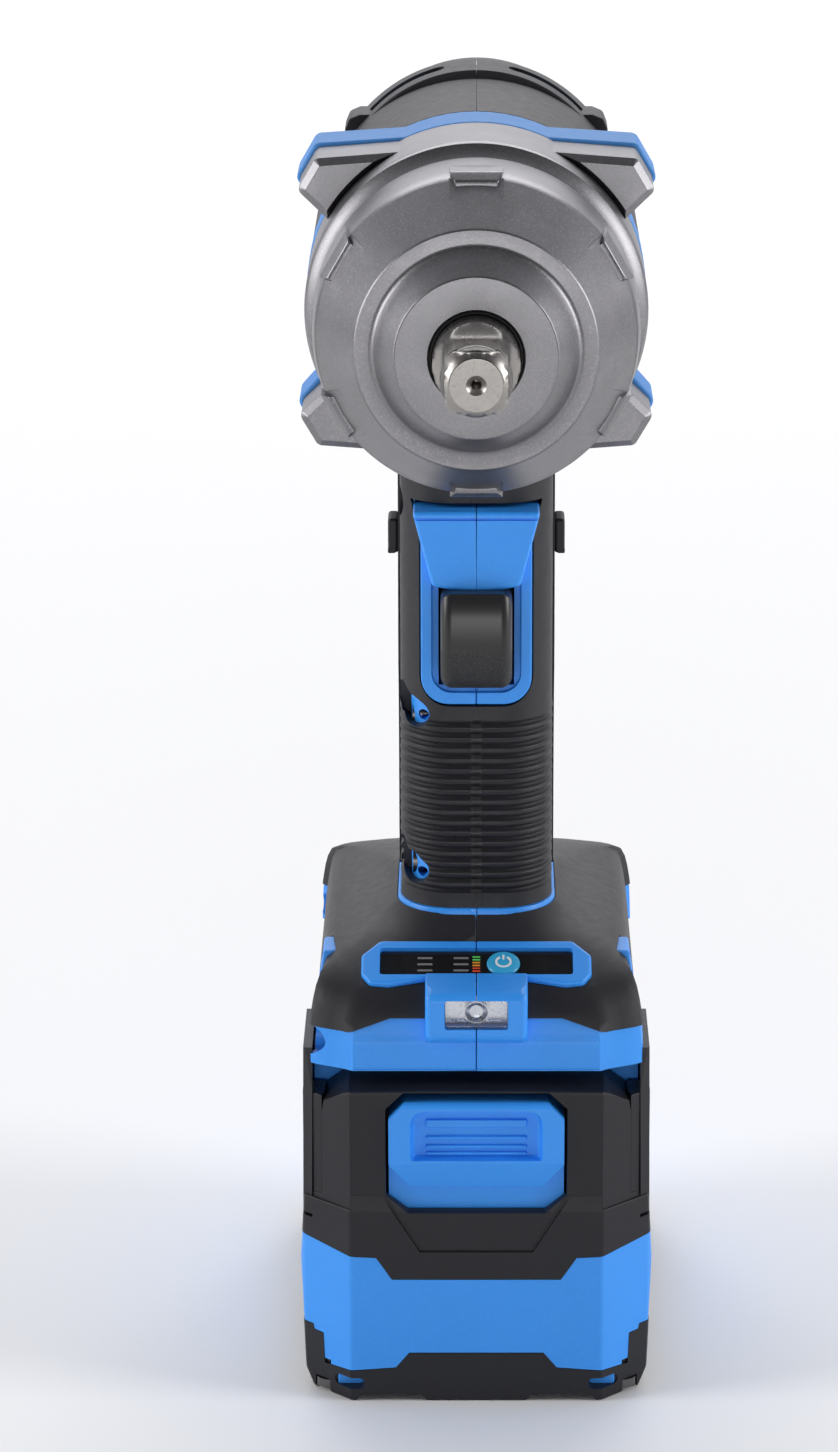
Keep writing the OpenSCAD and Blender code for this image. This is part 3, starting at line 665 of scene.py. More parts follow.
def makeHammerCase():
    case = {"disc": 17.2, "ringIn": 21.7, "ringOut": 25.6, "edge": 33.9, "barrel": 34.6, "flange": 36.9,
            "ringY": -72.1, "edgeY": -58, "lugFrontY": -25.2, "seal": 9.86, "bore": 27.9, "tabs": 6,
            "tabWidth": 5.6, "tabRise": 0.55}
    r, y0, y1, back = case["ringIn"], noseY, case["ringY"], flangeY - 0.05
    seal, out, tip = case["seal"], case["ringOut"], case["edgeY"]
    edge, barrel, flange = case["edge"], case["barrel"], case["flange"]
    profile = [(seal, y0 + 3), (seal, y0 + 0.35), (seal + 0.3, y0), (case["disc"] - 0.5, y0),
               (case["disc"], y0 + 0.25), (r - 1.4, y1 - 2.3), (r - 0.5, y1 - 0.8), (r + 0.1, y1 - 0.3),
               (r + 0.8, y1),
               (out - 0.45, y1), (out, y1 + 0.3), (edge - 0.6, tip - 0.55),
               (edge, tip + 0.25), (barrel - 0.1, -54), (barrel, -48), (barrel, -41), (barrel - 0.2, -38.8),
               (barrel - 0.8, -36.8), (barrel - 0.8, -35.8), (barrel + 0.3, -34.2), (flange - 0.5, -33.2),
               (flange, -32), (flange, back), (case["bore"], back), (case["bore"], y1 + 19),
               (seal + 2.2, y1 + 19), (seal + 2.2, y0 + 3)]
    body = lathe("hammerCase", profile, 180, closed=True)

    # mounting lugs with a chamfered plateau
    front = case["lugFrontY"]
    plate = prism("lugPlate", lugOutline(flange - 0.4, 0), front, back)
    bevelPicked(plate, lambda a, b: abs(a.y - front) < 0.01 and abs(b.y - front) < 0.01, 1.5, 1)
    bevel(plate, 0.35, 2, 25)
    hollow = lathe("lugHollow", [(0, -60), (39.4, -60), (39.4, front - 0.2), (38.1, front - 0.05), (36.9,
            front + 1.5),
                                 (0, front + 1.5)], 144)
    combine(plate, [hollow])
    combine(plate, [lathe("plateBore", [(0, -60), (33, -60), (33, 0), (0, 0)], 120)])

    # one tab at the top of the cone: a flat facet and a raised pad, copied round the axis
    slope = Vector((tip - y1, edge - out)).normalized()
    rise = Vector((-slope.y, slope.x))
    corner = Vector((tip, edge))
    inner = corner - slope * 2.6
    width = case["tabWidth"]
    facet = prism("tabFacet", [(y, axisZ + z) for y, z in
                               [tuple(corner - slope * 6.5 - rise * 0.5),
                                tuple(corner - slope * 0.6 - rise * 0.35),
                                (-57.5, 33.2), (-57, 31), (-69, 24)]], -width, width, "X")
    lift = rise * case["tabRise"]
    pad = prism("tabPad", [(y, axisZ + z) for y, z in
                           [tuple(inner), tuple(inner + slope * 0.55 + lift), tuple(corner + lift), (-57.6,
                                                                                                     34.75),
                            (-52.5, 34.8), (-51.2, 34.2), (-51.2, 32), (-60, 29)]], -width, width, "X")
    sizePicked(pad, "VERT", lambda c: c.y < -59, (0.8, 1, 1))
    bevel(pad, 0.28, 2, 25)
    combine(facet, [pad], "UNION")
    combine(facet, [lathe("facetBore", [(0, -80), (29, -56), (29, -40), (0, -40)], 120)])
    tabs = spinCopies(facet, [i * 360 / case["tabs"] for i in range(case["tabs"])])
    return combine(body, [plate] + tabs, "UNION")


def makeBumper():
    ring = {"radius": 37.1, "grow": 0.9, "inside": 36.2}
    outline = lugOutline(ring["radius"], ring["grow"], 2)
    piece = prism("bumperBand", outline, flangeY + 0.05, bumperY - 0.05)
    bevel(piece, 0.7, 3, 40)
    bore = rod("bumperBore", ring["inside"], (0, flangeY - 5, axisZ), 30, "Y", 144)
    combine(piece, [bore])
    return piece


def makeAnvil():
    # square drive: rings whose radius is the smaller of a square's and a circle's
    drive = {"flat": 6.35, "corner": 7.85, "shank": 9.0, "end": 5.6, "groove": 6.35, "points": 144,
             "scoopY": -92.5,
             "shankY": -86.2, "backY": -44}
    flat, corner, groove, y0 = drive["flat"], drive["corner"], drive["groove"], tipY
    shank, end, scoop = drive["shank"], drive["end"], drive["scoopY"]
    sections = [(y0 + 0.02, 9, end - 0.25), (y0 + 0.2, 9, end + 0.05), (y0 + 1.0, 6.9, 6.45),
                (y0 + 1.25, flat, 6.75), (y0 + 2.5, flat, corner - 0.15), (y0 + 3.0, flat, corner),
                (y0 + 3.3, flat, corner), (y0 + 3.4, flat, groove), (y0 + 5.5, flat, groove),
                (y0 + 5.6, flat, corner), (scoop, flat, corner + 0.05)]
    run = drive["shankY"] - scoop
    for k in range(1, 9):
        t = k / 8
        sections.append((scoop + run * t, flat + (shank + 0.05 - flat) * t ** 2.2,
                         min(shank, corner + 1.4 * t)))
    sections += [(drive["shankY"] + 0.4, 9.2, shank), (drive["backY"], 9.2, shank)]
    rings = []
    for y, side, radius in sections:
        ring = []
        for k in range(drive["points"]):
            t = 2 * math.pi * k / drive["points"]
            r = min(radius, side / max(abs(math.cos(t)), abs(math.sin(t))))
            ring.append((r * math.cos(t), y, axisZ + r * math.sin(t)))
        rings.append(ring)
    piece = loft("anvilDrive", rings)
    ears = block("ears", (-23, -52, axisZ - 6.4), (23, -44, axisZ + 6.4))
    bevel(ears, 0.8, 2)
    combine(piece, [ears], "UNION")
    hole = lathe("centreHole", [(0, y0 - 1), (2.1, y0 - 1), (2.1, y0), (1.0, y0 + 1.1), (0.85, y0 + 6), (0,
            y0 + 6.6)], 40)
    pilot = rod("pilotBore", 5.05, (0, -59, axisZ), 20, "Y")
    combine(piece, [hole, pilot])
    return piece


def makeFrictionRing():
    return lathe("frictionRing", [(6.5, tipY + 3.55), (7.15, tipY + 3.6), (7.4, tipY + 4), (7.4, tipY + 5),
                                  (7.15, tipY + 5.4), (6.5, tipY + 5.45)], 72, closed=True)


def makeNoseSeal():
    return lathe("shaftSeal", [(9.06, noseY + 2.5), (9.06, noseY + 0.5), (9.3, noseY + 0.2), (9.55,
                                                                                              noseY + 0.15),
                               (9.8, noseY + 0.5), (9.8, noseY + 2.5)], 96, closed=True)


finishPiece(makeHammerCase(), "tool", "cast", ["hammer_case"])
finishPiece(makeBumper(), "tool", "blueRubber", ["case_bumper"])
finishPiece(makeAnvil(), "anvil", "steel", ["anvil"])
finishPiece(makeFrictionRing(), "anvil", "darkSteel", ["retaining_ring"])
finishPiece(makeNoseSeal(), "tool", "seal", ["nose_seal"])
print("nose made")


# ---- barrel ----
barrel = {"skin": 37, "core": 35.2, "stepY": 50, "crownUp": 6, "crown": 32.7, "crownSteps": 432,
          "windowAngle": 27.5}


def barrelTools():
    # side vents: four slots on each flank
    tools = []
    for i in range(4):
        slot = block("slot", (-60, 74 + 5 * i, axisZ - 12), (60, 76.4 + 5 * i, axisZ + 12))
        bevel(slot, 0.9, 3)
        tools.append(slot)
    return tools


def makeBarrelSkin():
    y0, skin, core = bumperY + 0.1, barrel["skin"], barrel["core"] + 0.05
    outer = [(core, y0), (skin - 0.2, y0), (skin, y0 + 0.3), (skin, 48), (skin, 58), (skin + 0.1, 66),
             (skin - 0.6, 70),
             (35.2, 89), (32.9, 98.5), (32.2, 100.4), (30.6, 101.8), (29.5, 102)]
    piece = lathe("barrelSkin", outer + [(29.3, 101.4), (32.35, 97), (core, 68)], 180, closed=True)
    # raised crown along the top, struck from a higher centre
    middle = (0, 0, axisZ + barrel["crownUp"])
    r, y1 = barrel["crown"], barrel["stepY"]
    crown = lathe("crown", [(20, y1), (r - 0.35, y1), (r, y1 + 0.3), (r + 0.15, 57), (r + 0.3, 61.2),
                            (r + 0.3, 61.8),
                            (r + 0.3, 64.6), (r + 0.1, 65.4), (r - 0.3, 67), (29.4, 90), (20, 90)],
                  barrel["crownSteps"],
                  middle=middle, closed=True)
    step = 2 * math.pi / barrel["crownSteps"]

    def everyOther(c):
        turn = round(math.atan2(c.z - middle[2], c.x) / step)
        return 61.5 < c.y < 65 and c.z > axisZ and turn % 2 == 0 and math.hypot(c.x, c.z - middle[2]) > 30

    sizePicked(crown, "VERT", everyOther, (0.994, 1, 0.994), middle)
    floor = lathe("crownCut", [(0, 40), (skin - 0.6, 40), (skin - 0.6, 68), (32.5, 95), (0, 95)], 144)
    combine(crown, [floor, block("lower", (-50, 40, 150), (50, 100, axisZ + 20))])
    combine(piece, [crown], "UNION")
    # windows through the crown, with round ends
    for side in (-1, 1):
        window = block("window", (-11, 56, axisZ + 34.5), (11, 60.4, axisZ + 45))
        bevelPicked(window, lambda a, b: abs(a.x - b.x) < 0.01 and abs(a.y - b.y) < 0.01, 2.0, 5)
        turnMesh(window, side * barrel["windowAngle"], "Y", axisZ)
        combine(piece, [window])
    # small bumps beside the crown
    for side in (-1, 1):
        bump = block("sideBump", (side * 22, 54, axisZ + 20), (side * 30.2, 66, axisZ + 27.9))
        bevelPicked(bump, lambda a, b: min(a.z,
                                           b.z) > axisZ + 27 and abs(a.x - b.x) < 0.01 and abs(a.x) > 29,
                    3.4, 2)
        bevel(bump, 0.5, 2)
        combine(piece, [bump], "UNION")
    core = lathe("coreCut", [(0, 0), (core, 0), (core, 68), (32.35, 97), (28.5, 103), (0, 103)], 144)
    combine(piece, [core] + barrelTools())
    return piece


def makeBarrelCore():
    core = barrel["core"]
    profile = [(33.3, bumperY + 0.1), (core - 0.25, bumperY + 0.1), (core, bumperY + 0.3), (core, 68),
               (32.3, 97), (30.4, 100.4),
               (29.2, 101.3), (28.6, 102.2), (26.6, 104.2), (24.5, 104.8), (20.5, 104.95), (19.8, 104.4),
               (18.6, 104.3),
               (18.0, 104.9), (11.5, 104.95), (11, 104.4), (0, 104.4), (0, 101.8), (24.5, 101.8), (29.6,
                       95), (32.1, 72),
               (32.1, 14.1), (33.3, 14.1)]
    piece = lathe("barrelCore", profile, 144, closed=True)
    vent = block("rearVent", (-1.0, 101, axisZ + 12.6), (1.0, 106, axisZ + 17.6))
    bevel(vent, 0.6, 2)
    combine(piece, spinCopies(vent, range(0, 360, 30)) + barrelTools())
    return piece


blueShell(makeBarrelCore())
blackShell(makeBarrelSkin())
print("barrel made")

# ---- grip, neck and foot ----
grip = {"half": 16.9, "front": -26, "rear": 22, "corner": 12, "skin": 2.4, "collarZ": 104, "topZ": 213,
        "ribLow": 110, "ribHigh": 151, "ribs": 17, "ribDepth": 0.75, "ribBack": -8.5}
foot = {"skinZ": 86, "frontRise": 3.2, "corner": 6}
display = {"place": (0, -38.5, 97.7), "tilt": 23.4, "rise": 1.25, "half": 21.3, "height": 4.2, "button": 6,
           "barHalf": 1.65, "ledHalf": 0.85}


def roundRing(half, front, rear, corner, count):
    # closed ring of (x, y) points: straight sides and round corners, always the same number of points
    ring = []
    for sx, sy, start in ((1, -1, -90), (1, 1, 0), (-1, 1, 90), (-1, -1, 180)):
        cx, cy = sx * (half - corner), (front + corner) if sy < 0 else (rear - corner)
        ring += arc(corner, start, start + 90, count, (cx, cy))
    out = []
    for i, here in enumerate(ring):
        there = ring[(i + 1) % len(ring)]
        out.append(here)
        if (i + 1) % (count + 1) == 0:
            for k in range(1, 6):
                out.append((here[0] + (there[0] - here[0]) * k / 6, here[1] + (there[1] - here[1]) * k / 6))
    return out


def gripRing(z, inset=0.0, ribbed=True):
    # one slice of the grip at height z
    half, corner = grip["half"] - inset, grip["corner"] - inset
    front, rear = grip["front"] + inset, grip["rear"] - inset
    ring = []
    low = min(1.0, max(0.0, (grip["ribLow"] - 1.0 - z) / 5)) ** 1.6 if ribbed or inset < 0 else 0.0
    for x, y in roundRing(half, front, rear, corner, 14):
        if ribbed and y < grip["ribBack"] + 3 and grip["ribLow"] <= z <= grip["ribHigh"]:
            pitch = (grip["ribHigh"] - grip["ribLow"]) / grip["ribs"]
            t = (z - grip["ribLow"]) / pitch % 1.0
            # a groove, then a low swelling before the next one
            shape = 0.0
            if abs(t - 0.42) < 0.3:
                shape = (1 - abs(t - 0.42) / 0.3) ** 0.6
            elif abs(t - 0.9) < 0.2:
                shape = -0.18 * (1 - abs(t - 0.9) / 0.2)
            fade = min(1.0, max(0.0, (grip["ribBack"] - y) / 2.5))
            cut = shape * grip["ribDepth"] * fade
            nx, ny = ringNormal(x, y, half, front, corner)
            x, y = x - nx * cut, y - ny * cut
        x, y = x * (1 + 0.02 * low), y + (y + 2) * 0.03 * low
        ring.append((x, y, z))
    return ring


def ringNormal(x, y, half, front, corner):
    # direction out of the grip's front and sides
    cx, cy = max(-half + corner, min(half - corner, x)), max(front + corner, y)
    away = Vector((x - cx, y - cy))
    if away.length < 1e-6:
        return (0, -1)
    away.normalize()
    return tuple(away)


def teardrop(x, z, low, high):
    # opening over a screw pocket, seen from the front: round below, drawn out to a point above
    outline = arc(3.1, -170, 60, 12, (x, z)) + [(x + 0.4, z + 3.4), (x - 1.4, z + 4.4), (x - 2.9, z + 6.6),
                                                (x - 4.4, z + 4)]
    return prism("teardrop", outline, low, high)


def makeGripSkin():
    z = grip["collarZ"] + 2.95
    heights = [z, z + 0.25, 108.2, 109.2]
    pitch = (grip["ribHigh"] - grip["ribLow"]) / grip["ribs"]
    steps = [0.0, 0.12, 0.2, 0.3, 0.42, 0.54, 0.66, 0.73, 0.8, 0.9]
    heights += [grip["ribLow"] + pitch * (i + t) for i in range(grip["ribs"]) for t in steps]
    heights += [grip["ribHigh"] + 0.4, 158, 170, 184, 198, grip["topZ"]]
    piece = loft("gripSkin", [gripRing(h) for h in heights])
    tools = [loft("gripCore", [gripRing(h, grip["skin"] - 0.05, False) for h in (80, 150, 230)])]
    # room for the hammer case, the trigger frame, the chin and the direction switch
    tools.append(lathe("noseRoom", [(0, -60), (37.2, -60), (37.2, -10), (38.5, -10), (38.5, 4), (37.2,
            4.4), (37.2, 40),
                                    (0, 40)], 120))
    frameOutline = rounded([(-12.6, 196), (-12.6, 153.7), (12.6, 153.7), (12.6, 196)], [0, 6.5, 6.5, 0], 6)
    tools.append(prism("frameCut", frameOutline, -40, -12))
    tools.append(prism("chinCut", [(-14.5, 200), (-9.9, 181.2), (9.9, 181.2), (14.5, 200)], -40, -12))
    tools.append(block("switchCut", (-40, -9.6, 183.8), (40, -0.4, 192.7)))
    for x, height in ((-13.4, 151.2), (-13.6, 114.6)):
        tools.append(teardrop(x, height, -40, -12))
    tools.append(rod("pocket", 3.4, (-40, -15, 198), 40, "X", 32))
    combine(piece, tools)
    return piece


def makeSidePanel():
    # raised soft panel at the side of the neck, with a serrated upper edge and notches
    outline = [(-10, 212), (-10, 194), (-11, 183), (-12.2, 181.5), (-12.2, 179), (-11.2, 177.5), (-12.6,
                                                                                                  175.5),
               (-12.6, 173), (-11.6, 171.5), (-13, 169.5), (-13, 160), (-9.8, 152), (-8.2, 140), (-8.2,
                       120), (-6, 111),
               (2, 108.5), (14, 108.5), (17, 114), (18.5, 150), (18, 185), (16, 206)]
    panel = prism("sidePanel", rounded(outline, 0.5, 2), 11, 17.42, "X")
    body = loft("panelBody", [[(x * 1.03, y * 1.01, z) for x, y, z in gripRing(h, 0, False)] for h in (108,
            150, 213)])
    combine(panel, [body], "INTERSECT")
    combine(panel, [loft("panelHollow", [gripRing(h, 0.3, False) for h in (80, 150, 230)])])
    return panel


def makeGripCore():
    # blue inner shell seen in the screw pockets, with the collar at its foot
    core = loft("gripCore", [gripRing(h, grip["skin"], False) for h in (95, 130, 170, 212)])
    collar = loft("collar", [gripRing(h, -d, False) for h, d in ((104.0, 0.5), (104.4, 0.62), (106.3, 0.62),
                                                                (106.75, 0.45), (106.9, 0.1))])
    combine(core, [collar], "UNION")
    tools = [loft("gripRoom", [gripRing(h, grip["skin"] + 2.4, False) for h in (80, 150, 230)])]
    tools.append(block("triggerRoom", (-8.35, -50, 158.3), (8.35, -7, 182.1)))
    tools.append(block("switchRoom", (-40, -9.45, 184), (40, -0.55, 192.5)))
    tools.append(block("noseGap", (-40, -40, 196.5), (40, 4, 230)))
    tools.append(lathe("barrelGap", [(0, -60), (37.3, -60), (37.3, 3.9), (35.3, 4), (35.3, 60), (0, 60)],
                       96))
    for x, height in ((-11.6, 150.4), (-11.9, 113.6)):
        tools.append(rod("pocket", 1.2, (x, -40, height), 24.5, "Y", 32))
    tools.append(rod("pocket", 2.9, (-40, -15, 198), 28, "X", 32))
    combine(core, tools)
    return core


def makeTriggerFrame():
    # blue chin under the nose that runs down into a U round the trigger
    border = {"half": 12.2, "bottom": 154.1, "front": -25.7, "inner": 9.9}
    w, z0 = border["half"], border["bottom"]
    outline = rounded([(-w, 197), (-w, z0), (w, z0), (w, 197)], [0, 6.2, 6.2, 0], 8)
    body = prism("triggerFrame", outline, border["front"], -12.2)
    bevel(body, 0.5, 2, 40)
    # recessed channel inside the border, then the trigger opening
    n = border["inner"]
    channel = rounded([(-n, 200), (-n, z0 + 2.7), (n, z0 + 2.7), (n, 200)], [0, 4.6, 4.6, 0], 8)
    recess = prism("channel", channel, -40, border["front"] + 1.5)
    bevel(recess, 0.4, 2, 40)
    opening = prism("opening", rounded([(-8.3, 182.2), (-8.3, 158.4), (8.3, 158.4), (8.3, 182.2)], [0, 2.6,
            2.6, 0], 5),
                    -40, 0)
    combine(body, [recess, opening])
    # chin: wide at the top, with a curved lower edge
    low = [(x, 181.9 - 1.1 * (1 - (x / 9.7) ** 2)) for x in (9.7, 6, 3, 0, -3, -6, -9.7)]
    chin = prism("chin", [(14.0, 198.9)] + low + [(-14.0, 198.9)], -29.9, -12.3)
    movePicked(chin, lambda c: c.y < -29 and c.z < 183, (0, 0.8, 0))
    bevel(chin, 0.9, 3, 40)
    groove = prism("chinGroove", [(-20, 197.6), (-20, 197.0), (20, 197.0), (20, 197.6)], -40, -29.2)
    combine(chin, [groove])
    combine(body, [chin], "UNION")
    tools = [block("triggerRoom", (-8.35, -27.4, 158.3), (8.35, -7, 181.0))]
    tools.append(block("switchRoom", (-40, -9.45, 184), (40, -0.55, 192.5)))
    tools.append(lathe("noseGap", [(0, -60), (37, -60), (37, 60), (0, 60)], 96))
    combine(body, tools)
    return body


blueShell(makeGripCore())
blueShell(makeTriggerFrame())
blackShell(makeGripSkin())
sidePanel = makeSidePanel()
finishPiece(mirrorCopy(sidePanel), "tool", "blackRubber")
finishPiece(sidePanel, "tool", "blackRubber")
print("grip made")


def makeTrigger():
    half = 7.85
    side = [(-32.6, 181.3), (-33.8, 179), (-34.5, 176), (-34.9, 172), (-34.85, 168.5), (-34.2, 165), (-33,
                                                                                                      162),
            (-31.4, 160), (-29.6, 159.1), (-27, 158.95), (-14.05, 158.95), (-14.05, 181.3)]
    piece = prism("triggerShell", side, -half, half, "X")
    bevelPicked(piece, lambda a, b: abs(a.x - b.x) < 0.01 and abs(abs(a.x) - half) < 0.01 and min(a.y,
            b.y) < -20,
                2.6, 6, True)
    bevel(piece, 0.3, 2, 45)
    hollow = block("triggerHollow", (-6, -26, 163), (6, -12, 168))
    combine(piece, [hollow])
    stem = rod("stem", 2.45, (0, -14.2, 170), 9.1, "Y", 40)
    bevel(stem, 0.3, 2)
    combine(piece, [stem], "UNION")
    return piece


def makeSwitch():
    bar = block("switchBar", (-19.6, -8.7, 184.7), (19.6, -1.3, 191.8))
    bevel(bar, 0.4, 2)
    outline = [(-9.15, 184.35), (-9.15, 192.15), (-0.85, 192.15), (-0.85, 184.35)]
    pad = prism("switchPad", outline, 17.3, 19.65, "X")
    bevel(pad, 0.7, 3)
    heel = block("padHeel", (18.0, -9.15, 184.32), (19.68, -6.6, 185.4))
    bevel(heel, 0.2, 1)
    combine(pad, [heel], "UNION")
    combine(pad, [block("padGroove", (19.3, -7.8 + 2.2 * i, 183), (21, -7.0 + 2.2 * i,
                                                                   194)) for i in range(3)])
    combine(bar, [mirrorCopy(pad), pad], "UNION")
    return bar


finishPiece(makeTrigger(), "trigger", "triggerBlack", ["trigger"])
finishPiece(makeSwitch(), "direction_switch", "blackPlastic", ["direction_switch"])
print("controls made")


# ---- foot of the tool, display and lamp ----
def footSolid(name, inset=0.0, lowZ=77.4):
    # sloping shoulders: each row gives the front, side and rear of one ring, and its corner
    rows = [((-51.0, lowZ), (36.1, lowZ), (60.0, lowZ), 8.5, 1), ((-51.0, 83.8), (35.9, 83.8),
                                                                  (60.0, 83.8), 8.5, 1),
            ((-50.5, 86.2), (35.75, 86), (60.0, 86), 8.5, 1), ((-49.9, 88.2), (35.4, 88.6), (59.7, 88.2),
                                                               8.6, 1),
            ((-49.2, 90.2), (34.9, 92), (58.8, 90.4), 8.8, 1), ((-47.8, 92.3), (34.3, 95), (57.2, 93), 9,
                                                                0.95),
            ((-45.8, 94.5), (33.4, 97.6), (54.6, 95.8), 9.3, 0.85), ((-42.2, 96.2), (31.2, 99.7),
                                                                     (50, 98.4), 9.8, 0.65),
            ((-37.5, 98.3), (28, 101.2), (44, 100.6), 10.5, 0.4), ((-33.2, 100.3), (24.2, 102.5),
                                                                   (36, 102.8), 11.2, 0.15),
            ((-30.2, 102.4), (21, 103.6), (29, 104.4), 12, 0), ((-28.2, 104.4), (19, 104.8), (25, 105.2),
                                                                12, 0),
            ((-27, 105.9), (18.1, 105.9), (23.6, 105.9), 12.4, 0)]
    rings = []
    for (yf, zf), (xs, zs), (yr, zr), corner, flat in rows:
        xs, yf, yr = xs - inset, yf + inset, yr - inset
        drop = inset * (0.3 if zs < 95 else 0.95)
        ring = []
        for x, y in roundRing(xs, yf, yr, corner, foot["corner"]):
            cx, cy = xs - corner, (yf + corner) if y < 0 else (yr - corner)
            u, v = abs(x) - cx, (cy - y if y < 0 else y - cy)
            if flat and u > 0 and v > 0:
                # pull the round corner onto its chord, so that it reads as a flat facet
                k = corner / (u + v)
                x += math.copysign(u * (k - 1) * flat, x)
                y += v * (1 - k) * flat if y < 0 else v * (k - 1) * flat
            wf = max(0.0, 1 - (y - yf) / 20) ** 2
            wr = max(0.0, 1 - (yr - y) / 20) ** 2
            ring.append((x, y, zs + (zf - zs) * wf + (zr - zs) * wr - drop))
        rings.append(ring)
    return loft(name, rings)


def colourLine(name, drop=0.0, high=60):
    # space under the line where the black skin meets the blue foot
    z = foot["skinZ"] - drop
    rise = foot["frontRise"]
    outline = [(45, high), (45, z), (28.5, z), (19, z + rise)]
    front = prism(name, closeOutline(outline), -70, -44)
    return combine(front, [block("rest", (-45, -44.01, high), (45, 80, z))], "UNION")


def makeFootSkin():
    piece = footSolid("footSkin")
    tools = [colourLine("underLine"), footSolid("footCore", grip["skin"], 70)]
    tools.append(loft("collarRoom", [gripRing(h, -0.7, False) for h in (80, 95, 130)]))
    tools.append(onPanel(prism("frameRoom", panelOutline(0.1), -9, 6, "Z")))
    tools.append(block("lampRoom", (-11.4, -60, 80), (11.4, -41, 97.4)))
    for side in (-1, 1):
        tools.append(block("ventRoom", (side * 30, -31.2, 84.6), (side * 40, -21.2, 98.8)))
    return combine(piece, tools)


def makeFootCore():
    # blue lower foot with the channel that the battery slides into
    piece = footSolid("footCore", 0.3)
    combine(piece, [colourLine("keepLow", 0.12, 40)], "INTERSECT")
    ledge = prism("frontLedge", [(-50.9, 77.45), (-51, 78.2), (-51, 83.4), (-50.75, 84.3), (-49.3, 88.0),
                                 (-44, 88.0),
                                 (-44, 77.45)], -27.4, 27.4, "X")
    bevel(ledge, 0.4, 2, 25)
    lower = prism("lowerFoot", rounded([(-36.25, 46.45), (36.25, 46.45), (36.1, 78), (-36.1, 78)], [1.2,
            1.2, 0, 0], 4),
                  -36.5, 60)
    bevelPicked(lower, lambda a, b: abs(a.x - b.x) < 0.4 and abs(a.y - b.y) < 0.01 and abs(a.x) > 35
                and a.y > 59, 7, 1)
    combine(piece, [lower, ledge], "UNION")
    room = footSolid("boardRoom", 5)
    combine(room, [block("roomFloor", (-80, -80, 40), (80, 80, 77.2))])
    tools = [room, block("lowRoom", (-31, -31, 66), (31, 55, 77.5))]
    tools.append(prism("channel", [(-24, 40), (24, 40), (24, 52), (28, 52), (28, 63), (-28, 63), (-28, 52),
                                   (-24, 52)],
                       -60, 54))
    tools.append(block("hookNotch", (-9, -40, 54), (9, -33, 70)))
    tools.append(onPanel(prism("panelRoom", rounded([(-21.4, -4.3), (21.4, -4.3), (21.4, 4.3), (-21.4,
            4.3)], 0.8, 3),
                               -7, 6, "Z")))
    tools.append(block("lampCut", (-11, -60, 84.2), (11, -41.5, 97)))
    for y, z in ((-43.6, 82.6), (50, 81)):
        pocket = rod("pocket", 3.6, (-44, y, z), 13, "X", 40)
        bevel(pocket, 0.6, 3)
        tools.append(pocket)
    for i in range(3):
        tools.append(block("sideRoom", (-40, -29.4, 80.6 + 6 * i), (40, -22.6, 83.9 + 6 * i)))
    return combine(piece, tools)


def onPanel(piece):
    # tips a piece drawn flat onto the sloping display
    piece.rotation_euler = (math.radians(display["tilt"]), 0, 0)
    piece.location = Vector(display["place"]) * mm
    settle(piece)
    return piece


def panelOutline(grow=0.0):
    # frame round the display, with a notch below for the lamp
    right = [(19.5, -7.2 - grow), (23.6, -6.7 - grow), (25.5 + grow, -3.6), (25.5 + grow, 2.2), (21.4,
            6.9 + grow)]
    notch = [(-11.3, -5.4 - grow), (11.3, -5.4 - grow)]
    return rounded(closeOutline(right) + notch, [2, 1.6, 1.2, 1.6, 1.6] * 2 + [1, 1], 3)


def makeDisplayFrame():
    frame = prism("displayFrame", panelOutline(), -5.5, display["rise"], "Z")
    bevel(frame, 0.75, 3, 50)
    well = prism("well", rounded([(-21.4, -4.3), (21.4, -4.3), (21.4, 4.3), (-21.4, 4.3)], 0.7, 3), -3.5,
                 6, "Z")
    combine(frame, [well])
    return onPanel(frame)


def makeLampBox():
    half = 11.25
    side = [(-42, 84.1), (-51.4, 84.1), (-54.3, 85.8), (-54.95, 87.0), (-54.95, 95.0), (-54.2, 96.4), (-52,
            97.15), (-42, 97.15)]
    box = prism("lampBox", side, -half, half, "X")
    bevelPicked(box, lambda a, b: abs(a.x - b.x) < 0.01 and max(a.y, b.y) < -43, 1.5, 4, True)
    bevel(box, 0.45, 2, 28)
    window = prism("window", rounded([(-6.95, 88.4), (6.95, 88.4), (6.95, 95.1), (-6.95, 95.1)], 0.6, 3),
                   -60, -50.6)
    room = block("lampBack", (-9.5, -50.7, 86), (9.5, -41, 95.6))
    return combine(box, [window, room])


def makeVentFrames():
    vent = block("ventFrame", (33.0, -31, 84.8), (36.15, -21.4, 98.6))
    movePicked(vent, lambda c: c.z > 95, (-2.1, 0, 0))
    bevel(vent, 0.5, 2)
    cells = []
    for i in range(3):
        cell = block("cell", (28, -29.6, 86.3 + 4.1 * i), (44, -22.8, 89.3 + 4.1 * i))
        bevel(cell, 0.4, 2)
        cells.append(cell)
    combine(vent, cells)
    return [mirrorCopy(vent), vent]


blueShell(makeFootCore())
blueShell(makeDisplayFrame())
blueShell(makeLampBox())
blackShell(makeFootSkin())
for ventFrame in makeVentFrames():
    finishPiece(ventFrame, "tool", "bluePlastic")
print("foot made")


def makePanel():
    w, h, b = display["half"], display["height"], display["button"]
    plate = prism("displayPanel", rounded([(-w, -h), (w, -h), (w, h), (-w, h)], 0.6, 3), -1.5, 0.3, "Z")
    bevel(plate, 0.15, 2)
    combine(plate, [rod("buttonHole", 3.85, (b, 0, -5), 10, "Z", 64)])
    return onPanel(plate)


